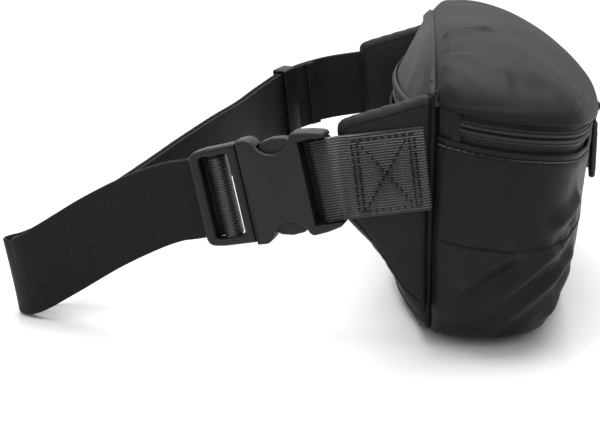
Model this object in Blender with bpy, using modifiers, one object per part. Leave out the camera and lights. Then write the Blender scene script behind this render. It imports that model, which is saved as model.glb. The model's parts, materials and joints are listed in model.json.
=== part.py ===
"""A waist pack: a two-compartment bag on a buckled webbing belt, standing on its base.

Lengths are in metres. X runs along the bag, the front faces -Y, the wearer's side faces +Y and Z is up. The
origin is the middle of the front compartment's floor. Points are worked out from the rear seam plane,
where the front compartment, the divider and the wings are sewn together, so every part hangs on an empty
in that plane.
"""

import math

import bmesh
import bpy
from mathutils import Matrix, Vector

# Where things stand
SEAM_Y = 0.030  # the rear seam plane, behind the origin
GAP = 0.0003  # between two parts that touch
FABRIC = 0.0016  # coated nylon with its lining

# The front compartment's plan: an arc round each end and one long arc across the front
SEAM_X = 0.118  # half the length at the seam plane
END_X = 0.130  # half the length where the ends bulge most, at the zip
END_Y = 0.028  # how far the bulge lies in front of the seam plane
DEPTH = 0.080  # seam plane to the middle of the front, at the zip
OUTLINE_STEPS = 32

# height, half length at the seam, half length at the bulge, bulge's distance from the seam, depth
FLOOR_LEVEL = (0.0, 0.092, 0.101, 0.022, 0.058)
LOWER_LEVELS = [
    FLOOR_LEVEL,
    (0.004, 0.104, 0.114, 0.023, 0.066),
    (0.014, 0.112, 0.125, 0.025, 0.071),
    (0.030, 0.116, 0.131, 0.027, 0.0745),
    (0.047, 0.118, 0.134, 0.028, 0.0765),
]
UPPER_LEVELS = [
    (0.0475, 0.118, 0.134, 0.028, 0.0765),
    (0.072, 0.118, 0.133, 0.028, 0.0790),
]

# The front zip: level across the front, climbing round the ends
ZIP_LOW = 0.0865  # lower edge of the tape at the front
ZIP_HIGH = 0.0985  # lower edge of the lid at the front
LOW_CLIMB = 0.0143
HIGH_CLIMB = 0.0150
LEVEL_SHARE = 0.33  # share of half the outline over which the zip is level
GARAGE_SHARE = 0.93  # the tape ends here, and the garage begins
GARAGE_GAP = 0.006  # share of half the outline between the tape's end and the garage
GARAGE_END = 0.992
COIL_HALF = 0.0015
TAPE = 0.0008
TAPE_SUNK = 0.0004  # how far the tape lies behind the coil

# The crest, where the lid and the rear lid meet the divider
CREST_END = 0.1187
CREST_RISE = 0.0157
LID_CROWN = 0.0065  # how far the lid stands above the crest
BINDING_STEPS = 10
LID_LAP = 0.0010  # how far the lid's edge stands proud of the zip
LID_ROWS = (0.0, 0.05, 0.14, 0.28, 0.46, 0.64, 0.80, 0.91, 1.0)

# The rear compartment's plan: one arc from seam to seam
REAR_Y = 0.0042  # where it starts, behind the seam plane
REAR_STEPS = 20
REAR_LEVELS = [  # height, half length, distance of the middle from the seam plane
    (0.0, 0.088, 0.012),
    (0.004, 0.098, 0.017),
    (0.014, 0.104, 0.021),
    (0.032, 0.107, 0.0220),
    (0.060, 0.108, 0.0222),
    (0.094, 0.108, 0.0222),
]
PAD = 0.003  # foam behind the rear panel
PAD_TOP = 0.0905
REAR_ZIP_LOW = 0.0943
REAR_ZIP_HIGH = 0.106
REAR_LID_HALF = 0.108
REAR_LID_Y = 0.0185
REAR_ZIP_HALF_ANGLE = 0.90  # share of the arc that carries the coil

# Belt
WEBBING_WIDTH = 0.038
WEBBING = 0.0015
WING_REACH = 0.043
BUCKLE_AT = Vector((-0.1195, 0.047, 0.0796))  # middle of the female half's webbing bar
BUCKLE_ALONG = Vector((0.0125, 0.063, -0.0148)).normalized()
BEND = (-0.0830, 0.2040, 0.0193)  # where the belt folds back, leaning outwards at the top
BEND_LEAN = 0.18
BEND_REACH = 0.016
# centre of the strap from the far wing, round the loop, to the male half of the buckle
STRAP_ROUTE = [
    (0.1212, 0.006, 0.0852),
    (0.1212, 0.024, 0.0830),
    (0.1205, 0.044, 0.0806),
    (0.1130, 0.066, 0.0778),
    (0.0930, 0.086, 0.0738),
    (0.0634, 0.0995, 0.0685),
    (0.0350, 0.1074, 0.0655),
    (0.0078, 0.1158, 0.0634),
    (-0.0176, 0.1271, 0.0583),
    (-0.0404, 0.1422, 0.0494),
    (-0.0597, 0.1608, 0.0383),
    (-0.0685, 0.1815, 0.0262),
    (-0.0748, 0.1960, 0.0205),
    BEND,
    (-0.0912, 0.1960, 0.0205),
    (-0.0938, 0.1790, 0.0306),
    (-0.0962, 0.1560, 0.0452),
    (-0.0992, 0.1360, 0.0560),
]
ROUTE_STEPS = 4
TAIL_GAP = 0.0028  # from the middle of the strap to the middle of the tail behind it
TAIL_SLACK = 0.0010  # more than that inside the bend
KEEPER_STEP = 16  # steps along the strap to the keeper
SHORTEST_STEP = 0.0022  # between two points of the tail, inside the bend
TAIL_START = 13  # steps along the strap to the end of the tail

SLIDER_AT = {"near": -0.002, "far": 0.020}  # where each front slider rests along X
REAR_SLIDER_AT = 0.084

BLACK_NYLON = ((0.020, 0.020, 0.022), 0.62, 0.0)
LID_NYLON = ((0.055, 0.055, 0.058), 0.55, 0.0)
LINING = ((0.10, 0.10, 0.105), 0.8, 0.0)
FOAM = ((0.25, 0.25, 0.25), 0.9, 0.0)
WEB = ((0.016, 0.016, 0.018), 0.75, 0.0)
ZIP_CLOTH = ((0.03, 0.03, 0.032), 0.8, 0.0)
ACETAL = ((0.018, 0.018, 0.020), 0.42, 0.0)
PAINTED_METAL = ((0.03, 0.03, 0.03), 0.35, 0.6)

parts = None
frame = None


def start_scene():
    """Clears the scene and makes the object's collection and the empty in the rear seam plane."""
    global parts, frame
    for old in list(bpy.data.objects):
        bpy.data.objects.remove(old)
    parts = bpy.data.collections.new("waist_pack")
    bpy.context.scene.collection.children.link(parts)
    frame = bpy.data.objects.new("seam_plane", None)
    frame.location = (0.0, SEAM_Y, 0.0)
    parts.objects.link(frame)
    bpy.context.view_layer.update()


def material(name, look):
    colour, rough, metal = look
    made = bpy.data.materials.new(name)
    made.use_nodes = True
    shader = made.node_tree.nodes["Principled BSDF"]
    shader.inputs["Base Color"].default_value = (*colour, 1.0)
    shader.inputs["Roughness"].default_value = rough
    shader.inputs["Metallic"].default_value = metal
    return made


def place(name, data, look, origin=(0.0, 0.0, 0.0)):
    """Links a mesh or curve given in the seam plane's frame, with its origin at the given point."""
    data.transform(Matrix.Translation(-Vector(origin)))
    obj = bpy.data.objects.new(name, data)
    obj.location = origin
    obj.parent = frame
    obj.data.materials.append(material(name, look))
    parts.objects.link(obj)
    return obj


def mesh_from(name, points, faces):
    mesh = bpy.data.meshes.new(name)
    mesh.from_pydata([tuple(p) for p in points], [], faces)
    return mesh


def loft(name, loops, look, origin=(0.0, 0.0, 0.0)):
    """A closed body through loops that all have the same number of points, capped at both ends."""
    count = len(loops[0])
    points = [p for loop in loops for p in loop]
    faces = [tuple(range(count)), tuple(range(len(points) - count, len(points)))]
    for i in range(len(loops) - 1):
        for j in range(count):
            k = (j + 1) % count
            faces.append((i * count + j, i * count + k, (i + 1) * count + k, (i + 1) * count + j))
    mesh = mesh_from(name, points, faces)
    turned = bmesh.new()
    turned.from_mesh(mesh)
    bmesh.ops.recalc_face_normals(turned, faces=turned.faces)
    turned.to_mesh(mesh)
    turned.free()
    return place(name, mesh, look, origin)


def sheet(name, rows, thickness, look, floor=False, flip=False, origin=(0.0, 0.0, 0.0)):
    """An open surface through rows of points, thickened to the inside. A floor closes the first row."""
    count = len(rows[0])
    points = [p for row in rows for p in row]
    faces = []
    for i in range(len(rows) - 1):
        for j in range(count - 1):
            a, b = i * count + j, (i + 1) * count + j
            faces.append((a, a + 1, b + 1, b))
    if floor:
        faces.append(tuple(reversed(range(count))))
    if flip:
        faces = [tuple(reversed(f)) for f in faces]
    obj = place(name, mesh_from(name, points, faces), look, origin)
    solid = obj.modifiers.new("thickness", "SOLIDIFY")
    solid.thickness = thickness
    solid.offset = -1.0
    return obj


def tube(name, points, radius, look, cyclic=False, origin=(0.0, 0.0, 0.0), sides=2):
    curve = bpy.data.curves.new(name, "CURVE")
    curve.dimensions = "3D"
    curve.bevel_depth = radius
    curve.bevel_resolution = sides
    curve.use_fill_caps = True
    spline = curve.splines.new("POLY")
    spline.points.add(len(points) - 1)
    for point, at in zip(spline.points, points):
        point.co = (*at, 1.0)
    spline.use_cyclic_u = cyclic
    return place(name, curve, look, origin)


def box_mesh(low, high, bevel=0.0):
    """A box between two corners, with its edges rounded by two segments."""
    low, high = Vector(low), Vector(high)
    mesh = bpy.data.meshes.new("box")
    made = bmesh.new()
    bmesh.ops.create_cube(made, size=1.0)
    for vert in made.verts:
        vert.co = Vector(a + (b - a) * (c + 0.5) for a, b, c in zip(low, high, vert.co))
    if bevel:
        bmesh.ops.bevel(
            made, geom=made.edges[:], offset=bevel, segments=2, profile=0.5, affect="EDGES"
        )
    made.to_mesh(mesh)
    made.free()
    return mesh


def joined(name, base, tools, look, to_frame, origin=(0.0, 0.0, 0.0)):
    """A box body with others added or cut away. tools are (operation, low corner, high corner, bevel)."""
    obj = place(name, base, look)
    for operation, low, high, bevel in tools:
        helper = bpy.data.objects.new(name + "_tool", box_mesh(low, high, bevel))
        parts.objects.link(helper)
        helper.parent = frame
        step = obj.modifiers.new(operation.lower(), "BOOLEAN")
        step.operation = operation
        step.object = helper
        bpy.context.view_layer.update()
        solid = bpy.data.meshes.new_from_object(obj.evaluated_get(bpy.context.evaluated_depsgraph_get()))
        obj.modifiers.clear()
        obj.data = solid
        bpy.data.objects.remove(helper)
    obj.data.transform(Matrix.Translation(-Vector(origin)) @ to_frame)
    obj.location = origin
    return obj


def front_point(share, seam_x, end_x, end_y, depth, out=0.0):
    """The point at a share of half the front outline, from the middle (0) to a seam (-1 near, 1 far)."""
    end_r = ((end_x - seam_x) ** 2 + end_y**2) / (2 * (end_x - seam_x))
    end_centre = end_x - end_r
    lean = depth - end_r
    behind = (lean**2 - end_centre**2 - end_y**2) / (2 * (end_y - lean))
    front_r = behind + depth
    join = math.atan2(end_centre, behind + end_y)
    seam_turn = math.pi / 2 + math.atan2(end_y, seam_x - end_centre)
    front_run = front_r * join
    run = abs(share) * (front_run + end_r * (seam_turn - join))
    if run < front_run:
        turn = run / front_r
        x, y = front_r * math.sin(turn), behind - front_r * math.cos(turn)
    else:
        turn = join + (run - front_run) / end_r
        x, y = end_centre + end_r * math.sin(turn), -end_y - end_r * math.cos(turn)
    side = -1.0 if share < 0 else 1.0
    return Vector((side * (x + out * math.sin(turn)), y - out * math.cos(turn), 0.0))


def front_arc():
    """Radius and centre of the arc that the front zip follows."""
    end_r = ((END_X - SEAM_X) ** 2 + END_Y**2) / (2 * (END_X - SEAM_X))
    lean = DEPTH - end_r
    behind = (lean**2 - (END_X - end_r) ** 2 - END_Y**2) / (2 * (END_Y - lean))
    return behind + DEPTH, Vector((0.0, behind, 0.0))


def shares(steps, limit=1.0):
    return [limit * (2 * i / steps - 1) for i in range(steps + 1)]


def climb(share):
    return max(0.0, (abs(share) - LEVEL_SHARE) / (1 - LEVEL_SHARE)) ** 1.15


def zip_low(share):
    return ZIP_LOW + LOW_CLIMB * climb(share)


def zip_high(share):
    return ZIP_HIGH + HIGH_CLIMB * climb(share)


def zip_point(share, out, height):
    point = front_point(share, SEAM_X, END_X, END_Y, DEPTH, out)
    point.z = height
    return point


def crest(x):
    return CREST_END + CREST_RISE * (1 - min(1.0, abs(x) / SEAM_X) ** 4)


def raised(point, height):
    return Vector((point.x, point.y - GAP, height))


def front_compartment():
    steps = shares(OUTLINE_STEPS)
    rows = [[raised(front_point(s, *plan), z) for s in steps] for z, *plan in LOWER_LEVELS]
    sheet("lower_tub", rows, FABRIC, BLACK_NYLON, floor=True)
    rows = [[raised(front_point(s, *plan), z) for s in steps] for z, *plan in UPPER_LEVELS]
    top = (SEAM_X, END_X, END_Y, DEPTH)
    rows.append([raised(front_point(s, *top), zip_low(s) - 3 * GAP) for s in steps])
    sheet("upper_wall", rows, FABRIC, BLACK_NYLON)
    outline = [front_point(s, 0.084, 0.093, 0.018, 0.050) for s in shares(16)]
    stiffener = [[Vector((p.x, p.y - 0.003, z)) for p in outline] for z in (0.0022, 0.0034)]
    loft("base_stiffener", stiffener, LINING)


def divider():
    """The flat panel between the two compartments, up to the crest."""
    side = [(0.090, 0.0008), (0.102, 0.005), (0.110, 0.014), (0.1145, 0.030), (0.1165, 0.047)]
    top = [(SEAM_X - 0.0015) * (1 - 2 * i / 16) for i in range(17)]
    outline = [(x, z) for x, z in side] + [(x, crest(x) - 0.0018) for x in top]
    outline += [(-x, z) for x, z in reversed(side)]
    loft("divider_panel", [[Vector((x, y, z)) for x, z in outline] for y in (0.0004, 0.0020)], LINING)


def band(name, steps, point, low, high, inner, outer, look):
    """A strip along an outline: low and high give its edges' heights, inner and outer its depth."""
    loops = []
    for s in steps:
        corners = [(inner, low(s)), (outer, low(s)), (outer, high(s)), (inner, high(s))]
        loops.append([point(s, out, z) for out, z in corners])
    return loft(name, loops, look)


def under_lid(share):
    return zip_high(share) - 3 * GAP


def front_zip():
    def middle(s):
        return (zip_low(s) + zip_high(s)) / 2

    steps = shares(28, GARAGE_SHARE)
    def above(offset):
        return lambda s: middle(s) + offset

    strips = [
        ("front_zip_tape_lower", zip_low, above(-COIL_HALF - 2 * GAP), -TAPE_SUNK, ZIP_CLOTH),
        ("front_zip_coil_lower", above(-COIL_HALF - GAP), above(-GAP / 2), 0.0, ACETAL),
        ("front_zip_coil_upper", above(GAP / 2), above(COIL_HALF + GAP), 0.0, ACETAL),
        ("front_zip_tape_upper", above(COIL_HALF + 2 * GAP), under_lid, -TAPE_SUNK, ZIP_CLOTH),
    ]
    for name, low, high, outer, look in strips:
        band(name, steps, zip_point, low, high, outer - 2 * TAPE, outer, look)
    first = GARAGE_SHARE + GARAGE_GAP
    for side, sign in (("near", -1.0), ("far", 1.0)):
        ends = [sign * (first + (GARAGE_END - first) * i / 3) for i in range(4)]
        name = "zip_garage_" + side
        band(name, ends, zip_point, zip_low, under_lid, -2 * TAPE, -GAP, BLACK_NYLON)


def lid_point(share, row):
    """A point of the lid, from its edge over the zip (row 0) to the crest (row 1)."""
    edge = front_point(share, SEAM_X, END_X, END_Y, DEPTH, LID_LAP * min(1.0, 12 * (1 - abs(share))))
    side = math.copysign(1.0, share)
    back = Vector((side * SEAM_X * abs(share) ** 0.75, 0.0, 0.0))
    flat = edge.lerp(back, row)
    low, high = zip_high(share), crest(back.x) + LID_CROWN * min(1.0, 6 * (1 - abs(share)))
    rise = (1 - (1 - min(row / 0.78, 1.0)) ** 1.6) ** (1 / 1.6)
    over = max(0.0, (row - 0.78) / 0.22)
    fall = (high - crest(back.x)) * over * over * (3 - 2 * over)
    return Vector((flat.x, flat.y - 2 * GAP, low + (high - low) * rise - fall))


def lids():
    rows = [[lid_point(s, row) for s in shares(OUTLINE_STEPS)] for row in LID_ROWS]
    sheet("lid_dome", rows, FABRIC, LID_NYLON, origin=(0.0, -0.0006, 0.1344))
    rows = []
    for row in (0.0, 0.25, 0.5, 0.75, 1.0):
        line = []
        for s in shares(REAR_STEPS):
            edge = rear_point(s, REAR_LID_HALF, REAR_LID_Y, 0.0008)
            top = Vector((s * (SEAM_X - 0.0085), REAR_Y + 0.0008, 0.0))
            flat = edge.lerp(top, row**1.15)
            low, high = REAR_ZIP_HIGH, crest(top.x) - 0.0004
            line.append(Vector((flat.x, flat.y, low + (high - low) * row**0.92)))
        rows.append(line)
    sheet("rear_lid_panel", rows, FABRIC, LID_NYLON, flip=True, origin=(0.0, 0.0036, 0.134))
    line = []
    for step in range(-BINDING_STEPS, BINDING_STEPS + 1):
        x = step / BINDING_STEPS * (SEAM_X - 0.002)
        line.append((x, 0.0012, crest(x) - 0.0002))
    tube("crest_binding", line, 0.0010, WEB, sides=1)


def rear_arc(half, middle):
    sag = middle - REAR_Y
    radius = (half**2 + sag**2) / (2 * sag)
    return radius, Vector((0.0, middle - radius, 0.0)), math.asin(half / radius)


def rear_point(share, half, middle, out=0.0):
    radius, centre, turn = rear_arc(half, middle)
    turn *= share
    return centre + (radius + out) * Vector((math.sin(turn), math.cos(turn), 0.0))


def rear_compartment():
    rows = []
    for z, half, middle in REAR_LEVELS:
        rows.append([rear_point(s, half, middle) + Vector((0, 0, z)) for s in shares(REAR_STEPS)])
    sheet("rear_lower_panel", rows, FABRIC, BLACK_NYLON, floor=True, flip=True)
    rows = []
    for z, half, middle in REAR_LEVELS[3:]:
        z = min(z + 0.002, PAD_TOP)
        arc = [rear_point(s, half, middle, -FABRIC - 0.0005) for s in shares(12, 0.80)]
        rows.append([p + Vector((0, 0, z)) for p in arc])
    sheet("rear_foam_pad", rows, PAD, FOAM, flip=True)

    def point(s, out, z):
        return rear_point(s, REAR_LID_HALF, (REAR_LID_Y + REAR_LEVELS[-1][2]) / 2, out) + Vector((0, 0, z))

    middle = (REAR_ZIP_LOW + REAR_ZIP_HIGH) / 2
    steps = shares(16, REAR_ZIP_HALF_ANGLE)
    strips = [
        ("rear_zip_tape_lower", REAR_ZIP_LOW, middle - COIL_HALF - 2 * GAP, ZIP_CLOTH),
        ("rear_zip_coil_lower", middle - COIL_HALF - GAP, middle - GAP / 2, ACETAL),
        ("rear_zip_coil_upper", middle + GAP / 2, middle + COIL_HALF + GAP, ACETAL),
        ("rear_zip_tape_upper", middle + COIL_HALF + 2 * GAP, REAR_ZIP_HIGH - GAP, ZIP_CLOTH),
    ]
    for name, low, high, look in strips:
        band(name, steps, point, lambda s: low, lambda s: high, -2 * TAPE, -TAPE / 8, look)
    low, high = REAR_ZIP_LOW, REAR_ZIP_HIGH - GAP
    for side, sign in (("near", -1.0), ("far", 1.0)):
        ends = [sign * (REAR_ZIP_HALF_ANGLE + GARAGE_GAP + 0.045 * i) for i in range(3)]
        name = "rear_garage_" + side
        band(name, ends, point, lambda s: low, lambda s: high, -2 * TAPE, -TAPE / 8, BLACK_NYLON)


def wings():
    """Each wing is an outer panel, a foam core and an inner panel, cut to one outline."""
    outline = [
        (0.0024, 0.0150),
        (0.0024, 0.1180),
        (WING_REACH - 0.002, 0.1060),
        (WING_REACH, 0.1040),
        (WING_REACH - 0.004, 0.0610),
        (0.0250, 0.0440),
        (0.0110, 0.0225),
    ]
    middle = Vector((0.018, 0.080))
    layers = [("outer", 0.1194, 0.1182, 1.0), ("foam", 0.1179, 0.1133, 0.93), ("inner", 0.1130, 0.1118, 1.0)]
    for side, sign in (("near", -1.0), ("far", 1.0)):
        for layer, x0, x1, size in layers:
            shape = [middle + (Vector(p) - middle) * size for p in outline]
            loops = [[Vector((sign * x, p.x, p.y)) for p in shape] for x in (x0, x1)]
            loft(f"wing_{side}_{layer}", loops, FOAM if layer == "foam" else BLACK_NYLON)
        seam = [(0.118, 0.112), (0.118, 0.047), (0.1162, 0.030), (0.1125, 0.015), (0.1090, 0.009)]
        line = [(sign * (x + 0.0013), 0.0010, z) for x, z in seam]
        tube("seam_piping_" + side, line, 0.0009, WEB, sides=1)


def smooth_route(points):
    """A smooth curve through the route's points, with the same number of steps between each two of them."""
    points = [Vector(p) for p in points]
    ends = [2 * points[0] - points[1]] + points + [2 * points[-1] - points[-2]]
    line = []
    for a, b, c, d in zip(ends, ends[1:], ends[2:], ends[3:]):
        for i in range(ROUTE_STEPS):
            t = i / ROUTE_STEPS
            bend = (2 * a - 5 * b + 4 * c - d) * t**2 + (3 * b - a - 3 * c + d) * t**3
            line.append(0.5 * (2 * b + (c - a) * t + bend))
    return line + [points[-1]]


def bend_share(at):
    """1 at the belt's bend, falling to 0 away from it."""
    return math.exp(-(((at - Vector(BEND)).length / BEND_REACH) ** 2))


def ribbon(name, line, up=None):
    """Webbing along a line: its width stands square to the line, as near upright as it can."""
    loops = []
    for i, at in enumerate(line):
        along = (line[min(i + 1, len(line) - 1)] - line[max(i - 1, 0)]).normalized()
        up_here = Vector((0, BEND_LEAN * bend_share(at), 1)) if up is None else up
        wide = (up_here - up_here.dot(along) * along).normalized() * WEBBING_WIDTH / 2
        out = along.cross(wide).normalized() * WEBBING / 2
        loops.append([at + wide + out, at + wide - out, at - wide - out, at - wide + out])
    return loft(name, loops, WEB)


def buckle_frame():
    """From the buckle's own axes (x along the strap, y down, z outwards) to the seam plane's frame."""
    along = BUCKLE_ALONG
    up = (Vector((0, 0, 1)) - along.z * along).normalized()
    out = along.cross(-up)
    return Matrix.Translation(BUCKLE_AT) @ Matrix((along, -up, out)).transposed().to_4x4()


FEMALE_WRAP = [  # x and z of the webbing round the female half's bar
    (-0.0050, 0.0033),
    (0.0005, 0.0033),
    (0.0026, 0.0026),
    (0.0032, 0.0),
    (0.0026, -0.0026),
    (0.0010, -0.0033),
    (0.0, -0.0033),
]
MALE_WRAP = [  # x and z of the webbing round the male half's middle bar
    (0.0684, -0.0031),
    (0.0590, -0.0034),
    (0.0555, -0.0026),
    (0.0535, 0.0008),
    (0.0520, 0.0028),
    (0.0500, 0.0034),
    (0.0480, 0.0028),
    (0.0466, 0.0004),
    (0.0470, -0.0040),
    (0.0495, -0.0056),
    (0.0590, -0.0056),
    (0.0684, -0.0055),
]


def belt():
    to_frame = buckle_frame()
    down = (to_frame.to_3x3() @ Vector((0, 1, 0))).normalized()
    # the loop of webbing sewn to the near wing, round the female half's bar
    web = [(-0.1216, 0.005, 0.0855), (-0.1216, 0.020, 0.0835), (-0.1218, 0.036, 0.0813)]
    line = [Vector(p) for p in web]
    line += [to_frame @ Vector((x, 0, z)) for x, z in FEMALE_WRAP]
    ribbon("anchor_web_near", line, -down)
    route = [Vector(p) for p in STRAP_ROUTE]
    route += [to_frame @ Vector((x, 0, -0.0031)) for x in (0.0790, 0.0696)]
    line = smooth_route(route)
    ribbon("waist_strap", line)
    behind = []
    for i in range(TAIL_START, len(line)):
        along = (line[min(i + 1, len(line) - 1)] - line[i - 1]).normalized()
        outward = along.cross(Vector((0, 0, 1))).normalized()
        at = line[i] - outward * (TAIL_GAP + TAIL_SLACK * bend_share(line[i]))
        if not behind or (at - behind[-1]).length > SHORTEST_STEP:
            behind.append(at)
    ribbon("strap_tail", behind)
    wrap = [to_frame @ Vector((x, 0, z)) for x, z in MALE_WRAP]
    ribbon("strap_wrap", wrap, -down)
    keeper(line[KEEPER_STEP], (line[KEEPER_STEP + 1] - line[KEEPER_STEP - 1]).normalized())


def keeper(at, along):
    """A moulded loop round the strap and its tail."""
    up = (Vector((0, 0, 1)) - along.z * along).normalized()
    outward = along.cross(up)
    at = at - outward * TAIL_GAP / 2
    turn = Matrix.Translation(at) @ Matrix((along, up, outward)).transposed().to_4x4()
    base = box_mesh((-0.004, -0.0225, -0.0055), (0.004, 0.0225, 0.0055), 0.0012)
    tools = [("DIFFERENCE", (-0.01, -0.0203, -0.0035), (0.01, 0.0203, 0.0035), 0.0)]
    joined("strap_keeper", base, tools, ACETAL, turn, origin=at)


def buckle():
    to_frame = buckle_frame()
    base = box_mesh((-0.0025, -0.0233, -0.0055), (0.038, 0.0233, 0.0055), 0.0022)
    tools = [
        ("DIFFERENCE", (0.0110, -0.0205, -0.0036), (0.050, 0.0205, 0.0036), 0.0),
        ("DIFFERENCE", (0.0018, -0.0202, -0.010), (0.0085, 0.0202, 0.010), 0.0),
        ("DIFFERENCE", (0.0145, -0.030, -0.0036), (0.0300, 0.030, 0.0036), 0.0),
        ("DIFFERENCE", (0.0165, -0.030, -0.010), (0.0285, -0.0180, 0.010), 0.0),
        ("DIFFERENCE", (0.0165, 0.0180, -0.010), (0.0285, 0.030, 0.010), 0.0),
        ("DIFFERENCE", (-0.0100, -0.0202, 0.0019), (0.0040, 0.0202, 0.010), 0.0),
        ("DIFFERENCE", (-0.0100, -0.0202, -0.010), (0.0040, 0.0202, -0.0019), 0.0),
        ("DIFFERENCE", (-0.0100, -0.0202, -0.010), (-0.0018, 0.0202, 0.010), 0.0),
    ]
    joined("buckle_female", base, tools, ACETAL, to_frame)
    base = box_mesh((0.0383, -0.0205, -0.0045), (0.0610, 0.0205, 0.0023), 0.0015)
    tools = [
        ("DIFFERENCE", (0.0440, -0.0197, -0.010), (0.0482, 0.0197, 0.010), 0.0),
        ("DIFFERENCE", (0.0520, -0.0197, -0.010), (0.0570, 0.0197, 0.010), 0.0),
        ("DIFFERENCE", (0.0470, -0.0197, -0.010), (0.0700, 0.0197, -0.0020), 0.0),
        ("DIFFERENCE", (0.0460, -0.0197, 0.0012), (0.0530, 0.0197, 0.010), 0.0),
        ("UNION", (0.0180, -0.0040, -0.0026), (0.0400, 0.0040, 0.0022), 0.0010),
    ]
    joined("buckle_male", base, tools, ACETAL, to_frame)
    for side, sign in (("upper", -1.0), ("lower", 1.0)):
        outline = [
            (0.0379, 0.0085),
            (0.0300, 0.0085),
            (0.0180, 0.0110),
            (0.0150, 0.0150),
            (0.0150, 0.0200),
            (0.0180, 0.0212),
            (0.0250, 0.0212),
            (0.0293, 0.0200),
            (0.0296, 0.0165),
            (0.0240, 0.0140),
            (0.0300, 0.0118),
            (0.0379, 0.0120),
        ]
        hinge = to_frame @ Vector((0.0375, sign * 0.0100, 0.0))
        loops = [[to_frame @ Vector((x, sign * y, z)) for x, y in outline] for z in (-0.0028, 0.0028)]
        loft("release_arm_" + side, loops, ACETAL, origin=hinge)


def slider(name, at, angle, out):
    """A slider, its link and its moulded pull. angle and out turn it about Z to face outwards."""
    turn = Matrix.Translation(at) @ Matrix.Rotation(angle + out, 4, "Z")
    base = box_mesh((-0.0048, -0.0030, -0.0050), (0.0048, -0.0005, 0.0050), 0.0008)
    tools = [
        ("UNION", (-0.0012, -0.0060, 0.0008), (0.0012, -0.0020, 0.0022), 0.0),
        ("UNION", (-0.0012, -0.0060, -0.0042), (0.0012, -0.0046, 0.0022), 0.0),
        ("UNION", (-0.0012, -0.0060, -0.0042), (0.0012, -0.0020, -0.0030), 0.0),
    ]
    joined(f"{name}_slider", base, tools, PAINTED_METAL, turn)
    pin = Vector((0.0, -0.0038, 0.0001))
    link = [
        (-0.0024, 0.0),
        (0.0024, 0.0),
        (0.0024, -0.0075),
        (0.0014, -0.0100),
        (-0.0014, -0.0100),
        (-0.0024, -0.0075),
    ]
    points = [turn @ (pin + Vector((x, 0.0, z))) for x, z in link]
    tube(f"{name}_link", points, 0.0006, PAINTED_METAL, cyclic=True, origin=turn @ pin, sides=1)
    base = box_mesh((-0.0035, -0.0053, -0.0385), (0.0035, -0.0023, -0.0080), 0.0013)
    tools = [("DIFFERENCE", (-0.0028, -0.0048, -0.0108), (0.0028, -0.0028, -0.0060), 0.0)]
    joined(f"{name}_pull", base, tools, ACETAL, turn, origin=turn @ pin)


def sliders():
    radius, centre = front_arc()
    height = (ZIP_LOW + ZIP_HIGH) / 2
    for side, x in SLIDER_AT.items():
        angle = math.asin(x / radius)
        at = centre + radius * Vector((math.sin(angle), -math.cos(angle), 0.0)) + Vector((0, 0, height))
        slider("front_" + side, at, angle, 0.0)
    radius, centre, _ = rear_arc(REAR_LID_HALF, (REAR_LID_Y + REAR_LEVELS[-1][2]) / 2)
    angle = math.asin(REAR_SLIDER_AT / radius)
    at = centre + radius * Vector((math.sin(angle), math.cos(angle), 0.0))
    at.z = (REAR_ZIP_LOW + REAR_ZIP_HIGH) / 2
    slider("rear", at, -angle, math.pi)


def main():
    start_scene()
    front_compartment()
    divider()
    front_zip()
    lids()
    rear_compartment()
    wings()
    belt()
    buckle()
    sliders()


main()
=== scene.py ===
"""The looks of the waist pack: cloth, webbing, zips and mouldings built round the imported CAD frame.

Shapes are worked out in the rear seam plane's coordinates, as in the part, and moved to the row frame when
a piece is made. Lengths are in metres.
"""

import json
import math

import bpy
import numpy as np
from mathutils import Matrix, Vector, noise
from mathutils.bvhtree import BVHTree


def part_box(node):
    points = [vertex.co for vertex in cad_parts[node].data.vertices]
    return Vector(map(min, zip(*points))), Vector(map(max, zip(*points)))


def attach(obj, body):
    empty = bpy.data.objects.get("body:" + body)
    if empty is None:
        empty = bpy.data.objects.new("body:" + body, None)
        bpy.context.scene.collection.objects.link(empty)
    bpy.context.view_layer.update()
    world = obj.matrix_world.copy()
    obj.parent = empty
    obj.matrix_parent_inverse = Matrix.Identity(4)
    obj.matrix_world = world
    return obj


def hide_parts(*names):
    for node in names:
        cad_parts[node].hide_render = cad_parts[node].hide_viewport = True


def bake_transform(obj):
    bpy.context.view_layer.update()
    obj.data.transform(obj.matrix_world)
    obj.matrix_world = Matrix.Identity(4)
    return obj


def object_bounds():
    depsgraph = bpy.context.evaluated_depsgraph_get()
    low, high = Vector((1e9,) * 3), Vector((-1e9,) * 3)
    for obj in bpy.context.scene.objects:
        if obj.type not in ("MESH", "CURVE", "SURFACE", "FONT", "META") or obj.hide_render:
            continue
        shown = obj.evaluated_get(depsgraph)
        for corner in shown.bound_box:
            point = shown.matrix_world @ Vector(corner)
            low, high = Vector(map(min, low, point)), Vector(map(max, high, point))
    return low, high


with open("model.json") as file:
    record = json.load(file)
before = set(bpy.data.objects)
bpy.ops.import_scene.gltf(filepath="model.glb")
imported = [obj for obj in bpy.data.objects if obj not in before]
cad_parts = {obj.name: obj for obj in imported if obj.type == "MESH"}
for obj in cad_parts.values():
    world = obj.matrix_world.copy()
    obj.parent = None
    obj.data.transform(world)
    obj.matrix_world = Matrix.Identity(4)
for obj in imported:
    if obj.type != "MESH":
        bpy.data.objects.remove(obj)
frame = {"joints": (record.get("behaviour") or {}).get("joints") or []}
CAD_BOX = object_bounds()
JOINTS = {joint["name"]: joint for joint in frame["joints"]}

# The rear seam plane, where the compartments and the wings are sewn together
SEAM_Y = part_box("divider_panel")[0].y - 0.0004
SHIFT = Vector((0.0, SEAM_Y, 0.0))
GAP = 0.0003

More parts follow.
